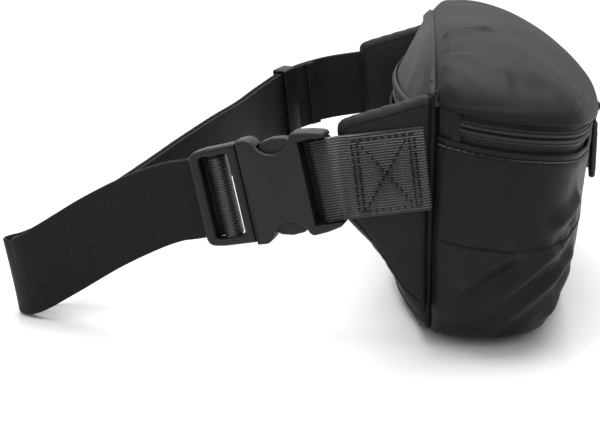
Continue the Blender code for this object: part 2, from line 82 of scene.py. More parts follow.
# The front compartment's plan at each height: half length at the seam, half length at the bulge, the
# bulge's distance in front of the seam plane, and the depth at the middle
PLAN_HEIGHTS = (0.0, 0.004, 0.014, 0.030, 0.047, 0.072, 0.0905)
PLAN_SEAM = (0.0920, 0.1040, 0.1120, 0.1160, 0.1180, 0.1180, 0.1180)
PLAN_END = (0.1010, 0.1140, 0.1250, 0.1310, 0.1340, 0.1330, 0.1300)
PLAN_END_Y = (0.022, 0.023, 0.025, 0.027, 0.028, 0.028, 0.028)
PLAN_DEPTH = (0.0580, 0.0660, 0.0710, 0.0745, 0.0765, 0.0790, 0.0800)
TOP_PLAN = (0.118, 0.130, 0.028, 0.080)  # at the zip, in the same order
SEAM_X = TOP_PLAN[0]

# The front zip
ZIP_LOW, ZIP_HIGH = 0.0865, 0.0985
LOW_CLIMB, HIGH_CLIMB = 0.0143, 0.0150
LEVEL_SHARE = 0.33
GARAGE_SHARE = 0.93
STITCH_Z = 0.0515  # the sewn line round the lower body
ZIP_STITCH_DROP, REAR_STITCH_DROP = 0.0042, 0.0045  # from a zip down to its topstitch

# The panel between the compartments: half its width at shares of its height
DIVIDER_LEVELS = (0, 0.04, 0.11, 0.23, 0.36, 1)
DIVIDER_HALF = (0.090, 0.102, 0.110, 0.1145, 0.1165, 0.1165)

# The crest and the lids
CREST_END, CREST_RISE, LID_CROWN, LID_LAP = 0.1187, 0.0157, 0.0040, 0.0019
REAR_Y = 0.0042
REAR_HEIGHTS = (0.0, 0.004, 0.014, 0.032, 0.060, 0.094)
REAR_HALF = (0.088, 0.098, 0.104, 0.107, 0.108, 0.108)
REAR_MIDDLE = (0.012, 0.017, 0.021, 0.0220, 0.0222, 0.0222)
REAR_ZIP_LOW, REAR_ZIP_HIGH = 0.0943, 0.106
REAR_LID_HALF, REAR_LID_Y = 0.108, 0.0185
REAR_ZIP_SHARE = 0.90
REAR_ZIP_Y = (REAR_LID_Y + REAR_MIDDLE[-1]) / 2

# The belt
WEBBING_WIDTH = 0.038
WEBBING = 0.0015
WEBBING_COLUMNS = 40
BUCKLE_WEB = 0.0195  # half the width of the buckle's slots for the webbing
LADDER_WEB = 0.0193
BUCKLE_AT = Vector((-0.1195, 0.047, 0.0796))
BUCKLE_ALONG = Vector((0.0125, 0.063, -0.0148)).normalized()
BEND = (-0.0830, 0.2040, 0.0193)
BEND_LEAN = 0.18
BEND_REACH = 0.016
STRAP_ROUTE = [
    (0.1212, 0.006, 0.0852),
    (0.1212, 0.024, 0.0830),
    (0.1205, 0.044, 0.0806),
    (0.1130, 0.066, 0.0778),
    (0.0930, 0.086, 0.0738),
    (0.0634, 0.0995, 0.0685),
    (0.0350, 0.1074, 0.0655),
    (0.0078, 0.1158, 0.0634),
    (-0.0176, 0.1271, 0.0583),
    (-0.0404, 0.1422, 0.0494),
    (-0.0597, 0.1608, 0.0383),
    (-0.0685, 0.1815, 0.0262),
    (-0.0748, 0.1960, 0.0205),
    BEND,
    (-0.0912, 0.1960, 0.0205),
    (-0.0938, 0.1790, 0.0306),
    (-0.0962, 0.1560, 0.0452),
    (-0.0992, 0.1360, 0.0560),
]
ROUTE_STEPS = 14
TAIL_GAP, TAIL_SLACK = 0.0028, 0.0010
TAIL_START = 3.25  # route points from the far wing to the end of the tail
ANCHOR_ROUTE = [(-0.1216, 0.0028, 0.0858), (-0.1219, 0.020, 0.0835), (-0.1221, 0.036, 0.0813)]
# The webbing round each bar: distance along the buckle, and out from its middle plane
FEMALE_WRAP = [
    (-0.0050, 0.0033),
    (0.0015, 0.0036),
    (0.0040, 0.0028),
    (0.0051, 0.0),
    (0.0044, -0.0028),
    (0.0020, -0.0036),
    (-0.0040, -0.0036),
]
MALE_WRAP = [
    (0.0612, -0.0033),
    (0.0585, -0.0033),
    (0.0555, -0.0026),
    (0.0535, 0.0008),
    (0.0520, 0.0028),
    (0.0500, 0.0034),
    (0.0480, 0.0028),
    (0.0466, 0.0004),
    (0.0470, -0.0040),
    (0.0495, -0.0056),
    (0.0590, -0.0058),
    (0.0612, -0.0058),
]

# ---------------------------------------------------------------- materials


def new_material(name, colour, rough, specular):
    made = bpy.data.materials.new(name)
    made.use_nodes = True
    shader = made.node_tree.nodes["Principled BSDF"]
    shader.inputs["Base Color"].default_value = (*colour, 1.0)
    shader.inputs["Roughness"].default_value = rough
    shader.inputs["Specular IOR Level"].default_value = specular
    return made, made.node_tree, shader


def node(tree, kind, links=None, **values):
    """A node with its sockets set by name, or linked where the value is another node's output."""
    made = tree.nodes.new(kind)
    for key, value in values.items():
        setattr(made, key, value)
    for key, value in (links or {}).items():
        if isinstance(value, bpy.types.NodeSocket):
            tree.links.new(value, made.inputs[key])
        else:
            made.inputs[key].default_value = value
    return made


def maths(tree, operation, *values):
    made = tree.nodes.new("ShaderNodeMath")
    made.operation = operation
    for i, value in enumerate(values):
        if isinstance(value, bpy.types.NodeSocket):
            tree.links.new(value, made.inputs[i])
        else:
            made.inputs[i].default_value = value
    return made.outputs[0]


def speckle(tree, scale, detail=2.0):
    place = node(tree, "ShaderNodeTexCoord").outputs["Object"]
    links = {"Vector": place, "Scale": scale, "Detail": detail}
    return node(tree, "ShaderNodeTexNoise", links).outputs["Fac"]


def ramped(tree, factor, colour, low, high, start, end):
    """The colour times low where the factor is at start, and times high where it is at end."""
    ramp = node(tree, "ShaderNodeValToRGB", {"Fac": factor})
    for stop, share, place in zip(ramp.color_ramp.elements, (low, high), (start, end)):
        stop.color = (*[c * share for c in colour], 1.0)
        stop.position = place
    return ramp.outputs["Color"]


def varied(tree, shader, colour, factor, low, high, start=0.3, end=0.7):
    tree.links.new(ramped(tree, factor, colour, low, high, start, end), shader.inputs["Base Color"])


def wavering(tree, shader, factor, middle, spread):
    """Roughness that moves about its middle value."""
    rough = maths(tree, "MULTIPLY_ADD", factor, spread, middle - spread / 2)
    tree.links.new(rough, shader.inputs["Roughness"])


def along_and_across(tree):
    """The UV map's two directions, in metres."""
    place = node(tree, "ShaderNodeUVMap").outputs["UV"]
    split = node(tree, "ShaderNodeSeparateXYZ", {"Vector": place})
    return split.outputs["X"], split.outputs["Y"]


def bumped(tree, shader, heights):
    """Bumps laid over each other: (height, distance, strength) each."""
    before = None
    for height, distance, strength in heights:
        links = {"Height": height, "Distance": distance, "Strength": strength}
        if before:
            links["Normal"] = before
        before = node(tree, "ShaderNodeBump", links).outputs["Normal"]
    tree.links.new(before, shader.inputs["Normal"])


def coated_nylon(name, colour, rough, specular):
    made, tree, shader = new_material(name, colour, rough, specular)
    varied(tree, shader, colour, speckle(tree, 22.0, 4.0), 0.86, 1.16)
    weave = speckle(tree, 1500.0, 1.0)
    crumple = speckle(tree, 70.0, 3.0)
    bumped(tree, shader, [(crumple, 0.0012, 0.22), (weave, 0.0001, 0.25)])
    wavering(tree, shader, speckle(tree, 45.0, 3.0), rough, 0.16)
    return made


def webbing_cloth(name, colour, rough, specular, rib, depth, painted_rib_highlight):
    """Ribs along the webbing, each woven of short floats, from the UV map in metres. The colour follows the
    rib height: painted shade between the ribs and a painted highlight on their tops.
    """
    made, tree, shader = new_material(name, colour, rough, specular)
    along, across = along_and_across(tree)
    ribs = maths(tree, "ABSOLUTE", maths(tree, "SINE", maths(tree, "MULTIPLY", across, math.pi / rib)))
    row = maths(tree, "FLOOR", maths(tree, "DIVIDE", across, rib))
    offset = maths(tree, "MULTIPLY", row, math.pi)
    turn = maths(tree, "MULTIPLY_ADD", along, 2 * math.pi / (rib * 0.9), offset)
    floats = maths(tree, "MULTIPLY_ADD", maths(tree, "SINE", turn), 0.5, 0.5)
    height = maths(tree, "MULTIPLY", ribs, maths(tree, "MULTIPLY_ADD", floats, 0.30, 0.70))
    # painted shade in the grooves between the ribs, painted highlight on the rib tops
    varied(tree, shader, colour, height, 0.28, painted_rib_highlight, 0.0, 1.0)
    bumped(tree, shader, [(height, depth, 0.9), (speckle(tree, 2500.0, 1.0), 0.0001, 0.3)])
    return made


def knitted_tape(name, colour):
    made, tree, shader = new_material(name, colour, 0.55, 0.2)
    along, across = along_and_across(tree)
    along = maths(tree, "MULTIPLY", along, 2 * math.pi / 0.00105)
    across = maths(tree, "MULTIPLY", across, 2 * math.pi / 0.0008)
    knit = maths(tree, "MULTIPLY", maths(tree, "SINE", along), maths(tree, "SINE", across))
    varied(tree, shader, colour, maths(tree, "MULTIPLY_ADD", knit, 0.5, 0.5), 0.7, 1.35)
    bumped(tree, shader, [(knit, 0.00016, 0.7), (speckle(tree, 1800.0, 1.0), 0.0001, 0.3)])
    return made


def moulded(name, colour, rough, specular, grain=1400.0):
    """Moulded plastic with a fine spark-eroded grain and faint handling marks."""
    made, tree, shader = new_material(name, colour, rough, specular)
    marks = speckle(tree, 35.0, 6.0)
    varied(tree, shader, colour, marks, 0.9, 1.12)
    wavering(tree, shader, marks, rough, 0.18)
    bumped(tree, shader, [(speckle(tree, grain, 2.0), 0.00012, 0.22)])
    return made


def painted(name, colour):
    made, tree, shader = new_material(name, colour, 0.34, 0.5)
    shader.inputs["Metallic"].default_value = 0.35
    chips = speckle(tree, 260.0, 4.0)
    varied(tree, shader, colour, chips, 0.8, 1.6)
    bumped(tree, shader, [(chips, 0.0001, 0.15)])
    return made


def floor_material():
    made, tree, shader = new_material("floor", (0.70, 0.70, 0.70), 0.16, 0.24)
    wavering(tree, shader, speckle(tree, 3.0, 2.0), 0.17, 0.04)
    return made


BODY = coated_nylon("body_nylon", (0.0078, 0.0078, 0.0082), 0.50, 0.13)
# The lid uses the body's nylon painted darker: painted shade that tones down the overhead light on the dome
LID_SHADED_NYLON = coated_nylon("lid_nylon", (0.0066, 0.0066, 0.0070), 0.56, 0.13)
WING = coated_nylon("wing_nylon", (0.0085, 0.0085, 0.0089), 0.48, 0.14)
LINING = coated_nylon("lining_cloth", (0.030, 0.030, 0.032), 0.7, 0.15)
# The last number of each webbing sets how much lighter its rib tops are painted: a painted highlight
MESH = webbing_cloth("air_mesh", (0.011, 0.011, 0.0115), 0.7, 0.12, 0.0022, 0.0006, 1.3)
WEB_BOX = webbing_cloth("webbing_ribbed", (0.0085, 0.0085, 0.0089), 0.28, 0.50, 0.00120, 0.0012, 2.0)
WEB_STRAP = webbing_cloth("webbing_strap", (0.0078, 0.0078, 0.0082), 0.55, 0.13, 0.00085, 0.00022, 1.15)
TAPE = knitted_tape("zip_tape", (0.0115, 0.0115, 0.0121))
THREAD = moulded("thread", (0.050, 0.050, 0.053), 0.42, 0.5, 3000.0)
THREAD_BODY = moulded("thread_body", (0.011, 0.011, 0.0115), 0.5, 0.2, 3000.0)
THREAD_DARK = moulded("thread_dark", (0.0060, 0.0060, 0.0065), 0.6, 0.12, 3000.0)
ACETAL = moulded("buckle_acetal", (0.0072, 0.0072, 0.0076), 0.40, 0.24)
PULL = moulded("pull_moulding", (0.0085, 0.0085, 0.0090), 0.40, 0.30, 900.0)
METAL = painted("slider_paint", (0.012, 0.012, 0.0125))

# ---------------------------------------------------------------- making pieces


def linked(name, data):
    """A new object in the scene."""
    obj = bpy.data.objects.new(name, data)
    bpy.context.scene.collection.objects.link(obj)
    return obj


def mesh_piece(name, points, faces, material, uv=None, smooth=True):
    """An object from points in the seam plane's frame. uv is one pair for each point."""
    mesh = bpy.data.meshes.new(name)
    points = np.asarray(points, float) + np.array(SHIFT)
    mesh.from_pydata(points.tolist(), [], [tuple(f) for f in faces])
    if uv is not None:
        layer = mesh.uv_layers.new(name="UVMap")
        loops = np.empty(len(mesh.loops), np.int32)
        mesh.loops.foreach_get("vertex_index", loops)
        layer.data.foreach_set("uv", np.asarray(uv, np.float32)[loops].ravel())
    mesh.polygons.foreach_set("use_smooth", [smooth] * len(mesh.polygons))
    mesh.materials.append(material)
    return linked(name, mesh)


def grid_faces(rows, columns, flip=False, ring=False):
    """Quads over a grid of points stored row by row. ring joins the last column to the first."""
    r, c = np.meshgrid(np.arange(rows - 1), np.arange(columns if ring else columns - 1), indexing="ij")
    a, b = r * columns + c, r * columns + (c + 1) % columns
    quads = np.stack([a, b, b + columns, a + columns], axis=-1).reshape(-1, 4)
    return quads[:, ::-1] if flip else quads


def grid_uv(grid):
    """Distance along the middle row, and along each column, in metres."""
    middle = grid[grid.shape[0] // 2]
    u = np.concatenate([[0], np.cumsum(np.linalg.norm(np.diff(middle, axis=0), axis=-1))])
    v = np.cumsum(np.linalg.norm(np.diff(grid, axis=0), axis=-1), axis=0)
    v = np.concatenate([np.zeros((1, grid.shape[1])), v])
    return np.stack([np.broadcast_to(u, v.shape), v], axis=-1).reshape(-1, 2)


def skin(name, grid, material, flip=False, lining=None, thick=0.0012):
    """A surface through a grid of points, with a lining on its inside where one is given."""
    rows, columns = grid.shape[:2]
    obj = mesh_piece(name, grid.reshape(-1, 3), grid_faces(rows, columns, flip), material, grid_uv(grid))
    if lining:
        obj.data.materials.append(lining)
        solid = obj.modifiers.new("lining", "SOLIDIFY")
        solid.thickness = thick
        solid.offset = -1.0
        solid.material_offset = 1
    return obj


def done(obj, body, slot, *nodes):
    """Hides the CAD nodes that the piece stands for, and makes the piece ride on the body. The slot is not
    used.
    """
    if nodes:
        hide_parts(*nodes)
    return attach(obj, body)


def normals(grid, flip=False):
    across = np.gradient(grid, axis=1)
    up = np.gradient(grid, axis=0)
    out = np.cross(across, up)
    out /= np.maximum(np.linalg.norm(out, axis=-1, keepdims=True), 1e-12)
    return -out if flip else out


def smooth(x):
    x = np.clip(x, 0.0, 1.0)
    return x * x * (3 - 2 * x)


def bell(x, width):
    return np.exp(-((x / width) ** 2))


def rounded(at, xs, ys):
    """A smooth curve through a table of values."""
    xs, ys = np.asarray(xs, float), np.asarray(ys, float)
    slopes = np.gradient(ys, xs)
    i = np.clip(np.searchsorted(xs, at) - 1, 0, len(xs) - 2)
    run = xs[i + 1] - xs[i]
    t = np.clip((at - xs[i]) / run, 0, 1)
    a, b = ys[i], ys[i + 1]
    ma, mb = slopes[i] * run, slopes[i + 1] * run
    made = (2 * t**3 - 3 * t**2 + 1) * a + (t**3 - 2 * t**2 + t) * ma
    return made + (3 * t**2 - 2 * t**3) * b + (t**3 - t**2) * mb


def rippled(grid, scale, seed):
    """Smooth noise from -1 to 1 at each point; scale is its size in metres."""
    shift = Vector((seed * 7.3, seed * 3.1, seed * 5.7))
    flat = [noise.noise(Vector(p) / scale + shift) for p in grid.reshape(-1, 3)]
    return np.array(flat).reshape(grid.shape[:-1])


def near_line(points, line):
    """Distance from each point to a line, and how far along the line its nearest place is, from 0 to 1."""
    line = np.asarray(line, float)
    runs = np.linalg.norm(np.diff(line, axis=0), axis=1)
    starts = np.concatenate([[0], np.cumsum(runs)])
    best = np.full(points.shape[:-1], 1e9)
    share = np.zeros_like(best)
    for a, b, start, run in zip(line, line[1:], starts, runs):
        t = np.clip(((points - a) @ (b - a)) / run**2, 0, 1)
        distance = np.linalg.norm(points - a - t[..., None] * (b - a), axis=-1)
        closer = distance < best
        best = np.where(closer, distance, best)
        share = np.where(closer, (start + t * run) / starts[-1], share)
    return best, share


def fold(points, line, width, height):
    """A soft ridge along a line, or a valley where height is negative, dying away at its ends."""
    distance, share = near_line(points, line)
    ends = smooth(np.minimum(share, 1 - share) * 4)
    return height * ends * bell(distance, width)


def mirrored(lines):
    """Each line, and its mirror image at the far end, a little longer and lower so that the ends differ."""
    far = [[(-x, y - 0.002, z * 0.96) for x, y, z in line] for line in lines]
    return lines + far


def walk(points, step):
    """Points a fixed step apart along a line."""
    points = np.asarray(points, float)
    length = np.concatenate([[0], np.cumsum(np.linalg.norm(np.diff(points, axis=0), axis=1))])
    at = np.linspace(0, length[-1], max(2, int(round(length[-1] / step)) + 1))
    return np.stack([np.interp(at, length, points[:, i]) for i in range(points.shape[1])], axis=-1)


def stitches(name, spans, radius, material, body, slot="binding"):
    """Short threads arched over a surface, one for each (start, end, normal) in spans."""
    shares = np.array([0.0, 0.12, 0.35, 0.65, 0.88, 1.0])
    sizes = np.array([0.30, 0.80, 1.0, 1.0, 0.80, 0.30])
    lift = np.array([-1.0, 0.0, 0.55, 0.55, 0.0, -1.0])
    turns = np.linspace(0, 2 * np.pi, 6, endpoint=False)
    points, faces = [], []
    template = grid_faces(len(shares), len(turns), ring=True)
    caps = [tuple(range(5, -1, -1)), tuple(range(30, 36))]
    for start, end, normal in spans:
        start, end, normal = (np.asarray(v, float) for v in (start, end, normal))
        along = end - start
        side = np.cross(along, normal)
        side /= max(np.linalg.norm(side), 1e-12)
        base = len(points)
        for share, size, up in zip(shares, sizes, lift):
            centre = start + along * share + normal * (up * radius)
            for turn in turns:
                points.append(centre + radius * size * (np.cos(turn) * side + np.sin(turn) * normal))
        faces += [tuple(int(i) + base for i in f) for f in template]
        faces += [tuple(i + base for i in f) for f in caps]
    obj = mesh_piece(name, points, faces, material)
    return done(obj, body, slot)


def sewn_line(points, outs, length, gap, lift=0.0):
    """Spans of a running stitch along points, with the surface's normals there."""
    both = walk(np.concatenate([points, outs], axis=1), (length + gap) / 4)
    ahead = max(1, round(4 * length / (length + gap)))
    spans = []
    for i in range(0, len(both) - ahead, 4):
        a, b = both[i], both[i + ahead]
        normal = a[3:] + b[3:]
        normal = normal / max(np.linalg.norm(normal), 1e-12)
        spans.append((a[:3] + normal * lift, b[:3] + normal * lift, normal))
    return spans


def polyline(curve, points, cyclic):
    """Straight runs through the points, as a new spline of a curve."""
    spline = curve.splines.new("POLY")
    spline.points.add(len(points) - 1)
    for point, at in zip(spline.points, points):
        point.co = (*at, 1.0)
    spline.use_cyclic_u = cyclic
    return spline


def tube(name, points, radius, material, cyclic=False):
    curve = bpy.data.curves.new(name, "CURVE")
    curve.dimensions = "3D"
    curve.bevel_depth = radius
    curve.bevel_resolution = 3
    curve.use_fill_caps = True
    spline = polyline(curve, [Vector(at) + SHIFT for at in points], cyclic)
    spline.use_smooth = True
    curve.materials.append(material)
    return linked(name, curve)


def to_mesh(obj):
    """The object's evaluated mesh in place of its modifiers or curve."""
    bpy.context.view_layer.update()
    made = bpy.data.meshes.new_from_object(obj.evaluated_get(bpy.context.evaluated_depsgraph_get()))
    name, world = obj.name, obj.matrix_world.copy()
    bpy.data.objects.remove(obj)
    made.name = name
    new = linked(name, made)
    new.matrix_world = world
    return new


def plate(name, outlines, thickness, edge, material, to_frame, middle=0.0):
    """A flat moulding with rounded edges. The first outline is the outside and the others are holes."""
    curve = bpy.data.curves.new(name, "CURVE")
    curve.dimensions = "2D"
    curve.fill_mode = "BOTH"
    curve.extrude = thickness / 2 - edge
    curve.bevel_depth = edge
    curve.bevel_resolution = 3
    curve.offset = -edge
    for around in outlines:
        polyline(curve, [(x, y, 0.0) for x, y in around], cyclic=True)
    curve.materials.append(material)
    obj = to_mesh(linked(name, curve))
    obj.data.transform(Matrix.Translation(SHIFT) @ to_frame @ Matrix.Translation((0, 0, middle)))
    obj.data.update()
    obj.data.shade_smooth()
    obj.data.set_sharp_from_angle(angle=math.radians(50))
    return obj


def corners(points, steps=5):
    """An outline through corners (x, y, radius), each one rounded."""
    made = []
    for last, here, following in zip(points[-1:] + points, points, points[1:] + points[:1]):
        a, b, c = (Vector(point[:2]) for point in (last, here, following))
        before, after = (a - b).normalized(), (c - b).normalized()
        radius = here[2]
        if radius <= 0:
            made.append((b.x, b.y))
            continue
        half = before.angle(after) / 2
        back = min(radius / math.tan(half), (a - b).length * 0.49, (c - b).length * 0.49)
        for i in range(steps + 1):
            t = i / steps
            at = (b + before * back).lerp(b, t).lerp(b.lerp(b + after * back, t), t)
            made.append((at.x, at.y))
    return made


def joined(objects, name):
    """One object from several, under the first one's name and materials."""
    first = objects[0]
    with bpy.context.temp_override(
        active_object=first, selected_editable_objects=objects, selected_objects=objects
    ):
        bpy.ops.object.join()
    first.name = name
    return first


def cut(obj, cutter):
    """Takes the cutter's shape out of the object."""
    step = obj.modifiers.new("cut", "BOOLEAN")
    step.operation = "DIFFERENCE"
    step.object = cutter
    made = to_mesh(obj)
    bpy.data.objects.remove(cutter)
    return made


def block(low, high, to_frame):
    x, y, z = zip(low, high)
    points = [to_frame @ Vector((a, b, c)) for a in x for b in y for c in z]
    faces = [(0, 1, 3, 2), (4, 6, 7, 5), (0, 4, 5, 1), (2, 3, 7, 6), (0, 2, 6, 4), (1, 5, 7, 3)]
    return mesh_piece("cutter", points, faces, ACETAL, smooth=False)


CLOTH_FRAMES = 14


def inflate(obj, pressure, cap, voxel):
    """Swells a closed pad as filled cloth does, moving no point further than the cap."""
    mesh = obj.modifiers.new("even", "REMESH")
    mesh.mode = "VOXEL"
    mesh.voxel_size = voxel
    obj = to_mesh(obj)
    rest = np.array([v.co for v in obj.data.vertices])
    cloth = obj.modifiers.new("cloth", "CLOTH")
    cloth.settings.quality = 6
    cloth.settings.mass = 0.15
    cloth.settings.tension_stiffness = 25
    cloth.settings.bending_stiffness = 0.6
    cloth.settings.use_pressure = True
    cloth.settings.uniform_pressure_force = pressure
    cloth.settings.effector_weights.gravity = 0.0
    scene = bpy.context.scene
    for step in range(1, CLOTH_FRAMES + 1):
        scene.frame_set(step)
    obj = to_mesh(obj)
    scene.frame_set(1)
    moved = np.array([v.co for v in obj.data.vertices]) - rest
    far = np.linalg.norm(moved, axis=1, keepdims=True)
    moved *= np.minimum(1.0, cap / np.maximum(far, 1e-9))
    obj.data.vertices.foreach_set("co", (rest + moved).astype(np.float32).ravel())
    finer = obj.modifiers.new("finer", "SUBSURF")
    finer.levels = finer.render_levels = 1
    obj = to_mesh(obj)
    obj.data.shade_smooth()
    return obj


# ---------------------------------------------------------------- camera, floor and light

CAMERA_AT = (-0.7304, 0.0385, 0.2315)
CAMERA_TURN = (74.523, 0.0, -85.225)
LENS_MM, SENSOR_MM = 84.7, 36.0
FLOOR_SIDE = 5.0
SOFTBOXES = [  # name, place, what it faces, size, power in watts
    ("top_light", (0.15, 0.05, 1.20), (0.0, 0.02, 0.06), (1.2, 1.2), 26.0),
    ("key_light", (-1.15, -0.45, 0.95), (0.0, 0.0, 0.06), (0.5, 0.5), 1.5),
    ("strap_light", (-0.80, 0.95, 0.85), (-0.08, 0.12, 0.06), (0.5, 0.4), 1.2),
]


def camera():
    made = linked("camera", bpy.data.cameras.new("camera"))
    made.location = CAMERA_AT
    made.rotation_euler = [math.radians(angle) for angle in CAMERA_TURN]
    made.data.lens = LENS_MM
    made.data.sensor_width = SENSOR_MM
    bpy.context.scene.camera = made


def softbox(name, at, aim, size, power):
    light = bpy.data.lights.new(name, "AREA")
    light.shape = "RECTANGLE"
    light.size, light.size_y = size
    light.energy = power
    made = linked(name, light)
    made.location = at
    made.rotation_euler = (Vector(aim) - Vector(at)).to_track_quat("-Z", "Y").to_euler()


def graded_sky(tree):
    """White overhead and behind the wearer's side, falling to grey in front of the pack."""
    looking = node(tree, "ShaderNodeTexCoord").outputs["Generated"]
    way = node(tree, "ShaderNodeSeparateXYZ", {"Vector": looking})
    lift = maths(tree, "MULTIPLY_ADD", way.outputs["Y"], 0.60, 0.55)
    lift = maths(tree, "MULTIPLY_ADD", way.outputs["Z"], 0.55, lift)
    colour = ramped(tree, lift, (1.0, 1.0, 1.0), 0.70, 1.0, 0.10, 0.70)
    tree.links.new(colour, tree.nodes["Background"].inputs["Color"])
    tree.nodes["Background"].inputs["Strength"].default_value = 1.05


def studio():
    mesh = bpy.data.meshes.new("floor")
    square = [(x * FLOOR_SIDE, y * FLOOR_SIDE, 0) for x, y in ((-1, -1), (1, -1), (1, 1), (-1, 1))]
    mesh.from_pydata(square, [], [(0, 1, 2, 3)])
    mesh.materials.append(floor_material())
    floor = linked("floor", mesh)
    floor.location.z = min(0.0, CAD_BOX[0][2]) - GAP
    world = bpy.data.worlds.new("studio")
    world.use_nodes = True
    graded_sky(world.node_tree)
    bpy.context.scene.world = world
    bpy.context.scene.view_settings.view_transform = "Standard"
    for values in SOFTBOXES:
        softbox(*values)


# ---------------------------------------------------------------- front compartment


def outline(share, plan):
    """x, y and the outward direction's x and y of the front outline, at shares of half its length."""
    seam_x, end_x, end_y, depth = plan
    end_r = ((end_x - seam_x) ** 2 + end_y**2) / (2 * (end_x - seam_x))
    end_centre = end_x - end_r
    lean = depth - end_r
    behind = (lean**2 - end_centre**2 - end_y**2) / (2 * (end_y - lean))
    front_r = behind + depth
    join = np.arctan2(end_centre, behind + end_y)
    seam_turn = np.pi / 2 + np.arctan2(end_y, seam_x - end_centre)
    front_run = front_r * join
    run = np.abs(share) * (front_run + end_r * (seam_turn - join))
    front = run < front_run
    turn = np.where(front, run / front_r, join + (run - front_run) / end_r)
    x = np.where(front, front_r * np.sin(turn), end_centre + end_r * np.sin(turn))
    y = np.where(front, behind - front_r * np.cos(turn), -end_y - end_r * np.cos(turn))
    side = np.where(share < 0, -1.0, 1.0)
    return side * x, y, side * np.sin(turn), -np.cos(turn)


def climb(share):
    return np.maximum(0.0, (np.abs(share) - LEVEL_SHARE) / (1 - LEVEL_SHARE)) ** 1.15


def zip_low(share):
    return ZIP_LOW + LOW_CLIMB * climb(share)


def zip_high(share):
    return ZIP_HIGH + HIGH_CLIMB * climb(share)


def crest(x):
    return CREST_END + CREST_RISE * (1 - np.minimum(1.0, np.abs(x) / SEAM_X) ** 4)


def end_shares(count):
    """Shares from -1 to 1, closer together at the ends."""
    even = np.linspace(-1, 1, count)
    return np.sign(even) * (1 - (1 - np.abs(even)) ** 1.25)


def zip_points(share, out, height):
    """Points on the zip's outline, at a distance outside it and a height."""
    x, y, dx, dy = outline(share, TOP_PLAN)
    return np.stack([x + dx * out, y + dy * out, np.broadcast_to(height, x.shape)], axis=-1)


def line_at(grid, values, heights):
    """For each column of a grid, the values where the grid is at a height."""
    made = []
    for j, z in enumerate(heights):
        made.append([np.interp(z, grid[:, j, 2], values[:, j, i]) for i in range(3)])
    return np.array(made)


# Soft diagonal folds of the lower body: each is a ridge with a valley below it (width, height)
RIDGE, VALLEY, RIDGE_TO_VALLEY = (0.0046, 0.0033), (0.0050, -0.0028), 0.009
BODY_FOLDS = mirrored(
    [
        [(-0.1270, -0.013, 0.030), (-0.1328, -0.024, 0.0445),
         (-0.1329, -0.034, 0.0510), (-0.131, -0.042, 0.055)],
        [(-0.1250, -0.016, 0.018), (-0.1304, -0.0375, 0.036),
         (-0.1253, -0.050, 0.0468), (-0.095, -0.067, 0.056)],
        [(-0.1180, -0.022, 0.010), (-0.1236, -0.0473, 0.030),
         (-0.1112, -0.0574, 0.038), (-0.085, -0.070, 0.044)],
        [(-0.1254, -0.0495, 0.060), (-0.1100, -0.0600, 0.063), (-0.0900, -0.067, 0.069)],
        [(-0.1150, -0.048, 0.009), (-0.1010, -0.062, 0.022), (-0.078, -0.071, 0.032)],
    ]
)


def body_relief(grid, share):
    """How far the cloth of the front compartment stands out from its plan."""
    z = grid[..., 2]
    relief = 0.0009 * rippled(grid, 0.055, 1) + 0.0003 * rippled(grid, 0.018, 2)
    for line in BODY_FOLDS:
        relief += fold(grid, line, *RIDGE)
        below = [(x, y, z - RIDGE_TO_VALLEY) for x, y, z in line]
        relief += fold(grid, below, *VALLEY)
    top = zip_low(share) - z
    relief -= 0.0004 * bell(top - 0.0042, 0.0012)
    relief += 0.0004 * bell(top - 0.0018, 0.0012)
    relief -= 0.0016 * smooth(1 - top / 0.0012)
    uneven = 0.5 + 0.8 * rippled(grid, 0.011, 4)
    pucker = np.sin(share * 330) * uneven * 0.00030 * bell(top - 0.0050, 0.0035)
    sewn = z - stitch_height(share)
    relief -= 0.00025 * bell(sewn, 0.0010)
    relief += 0.00010 * smooth(sewn / 0.0010) * np.exp(-np.maximum(sewn, 0) / 0.006)
    pucker += np.sin(share * 230) * uneven * 0.00020 * bell(sewn, 0.0045)
    edge = 1 - np.abs(share)
    relief += 0.0006 * bell(edge - 0.03, 0.018)
    relief -= 0.0009 * smooth(1 - edge / 0.006) ** 1.5
    ripple = rippled(grid * np.array([0.2, 0.2, 1.0]), 0.007, 3) * 0.0003
    relief += ripple * np.exp(-edge / 0.05)
    low = smooth(z / 0.006)
    return relief * low + pucker


def stitch_height(share):
    return STITCH_Z + 0.0020 * np.abs(share) ** 4


def front_body():
    share = end_shares(381)
    wall = np.linspace(0, 1, 118) ** 0.92
    top = zip_low(share) - 2 * GAP
    heights = wall[:, None] * top[None, :]
    plan = [rounded(heights, PLAN_HEIGHTS, v) for v in (PLAN_SEAM, PLAN_END, PLAN_END_Y, PLAN_DEPTH)]
    spread = np.broadcast_to(share, heights.shape)
    x, y, dx, dy = outline(spread, plan)
    grid = np.stack([x, y - GAP, heights], axis=-1)
    grid += body_relief(grid, spread)[..., None] * np.stack([dx, dy, np.zeros_like(dx)], axis=-1)
    middle = np.array([0.0, -0.030, 0.0])
    floor = [middle + (grid[0] - middle) * size for size in np.linspace(0.04, 0.985, 9)]
    full = np.concatenate([np.stack(floor), grid])
    shell = skin("front_shell", full, BODY, lining=LINING)
    done(shell, "root", "body_nylon", "lower_tub", "upper_wall", "base_stiffener")
    out = normals(grid)
    cols = slice(6, -6)
    for name, z, length, gap in (
        ("zip_topstitch", zip_low(share) - ZIP_STITCH_DROP, 0.0016, 0.0015),
        ("body_topstitch", stitch_height(share) - 0.0002, 0.0024, 0.0012),
    ):
        line = line_at(grid, grid, z)[cols]
        normal = line_at(grid, out, z)[cols]
        spans = sewn_line(line, normal, length, gap, 0.0002)
        bold = name == "zip_topstitch"
        stitches(name, spans, 0.00040 if bold else 0.00024, THREAD if bold else THREAD_BODY, "root")
    return grid


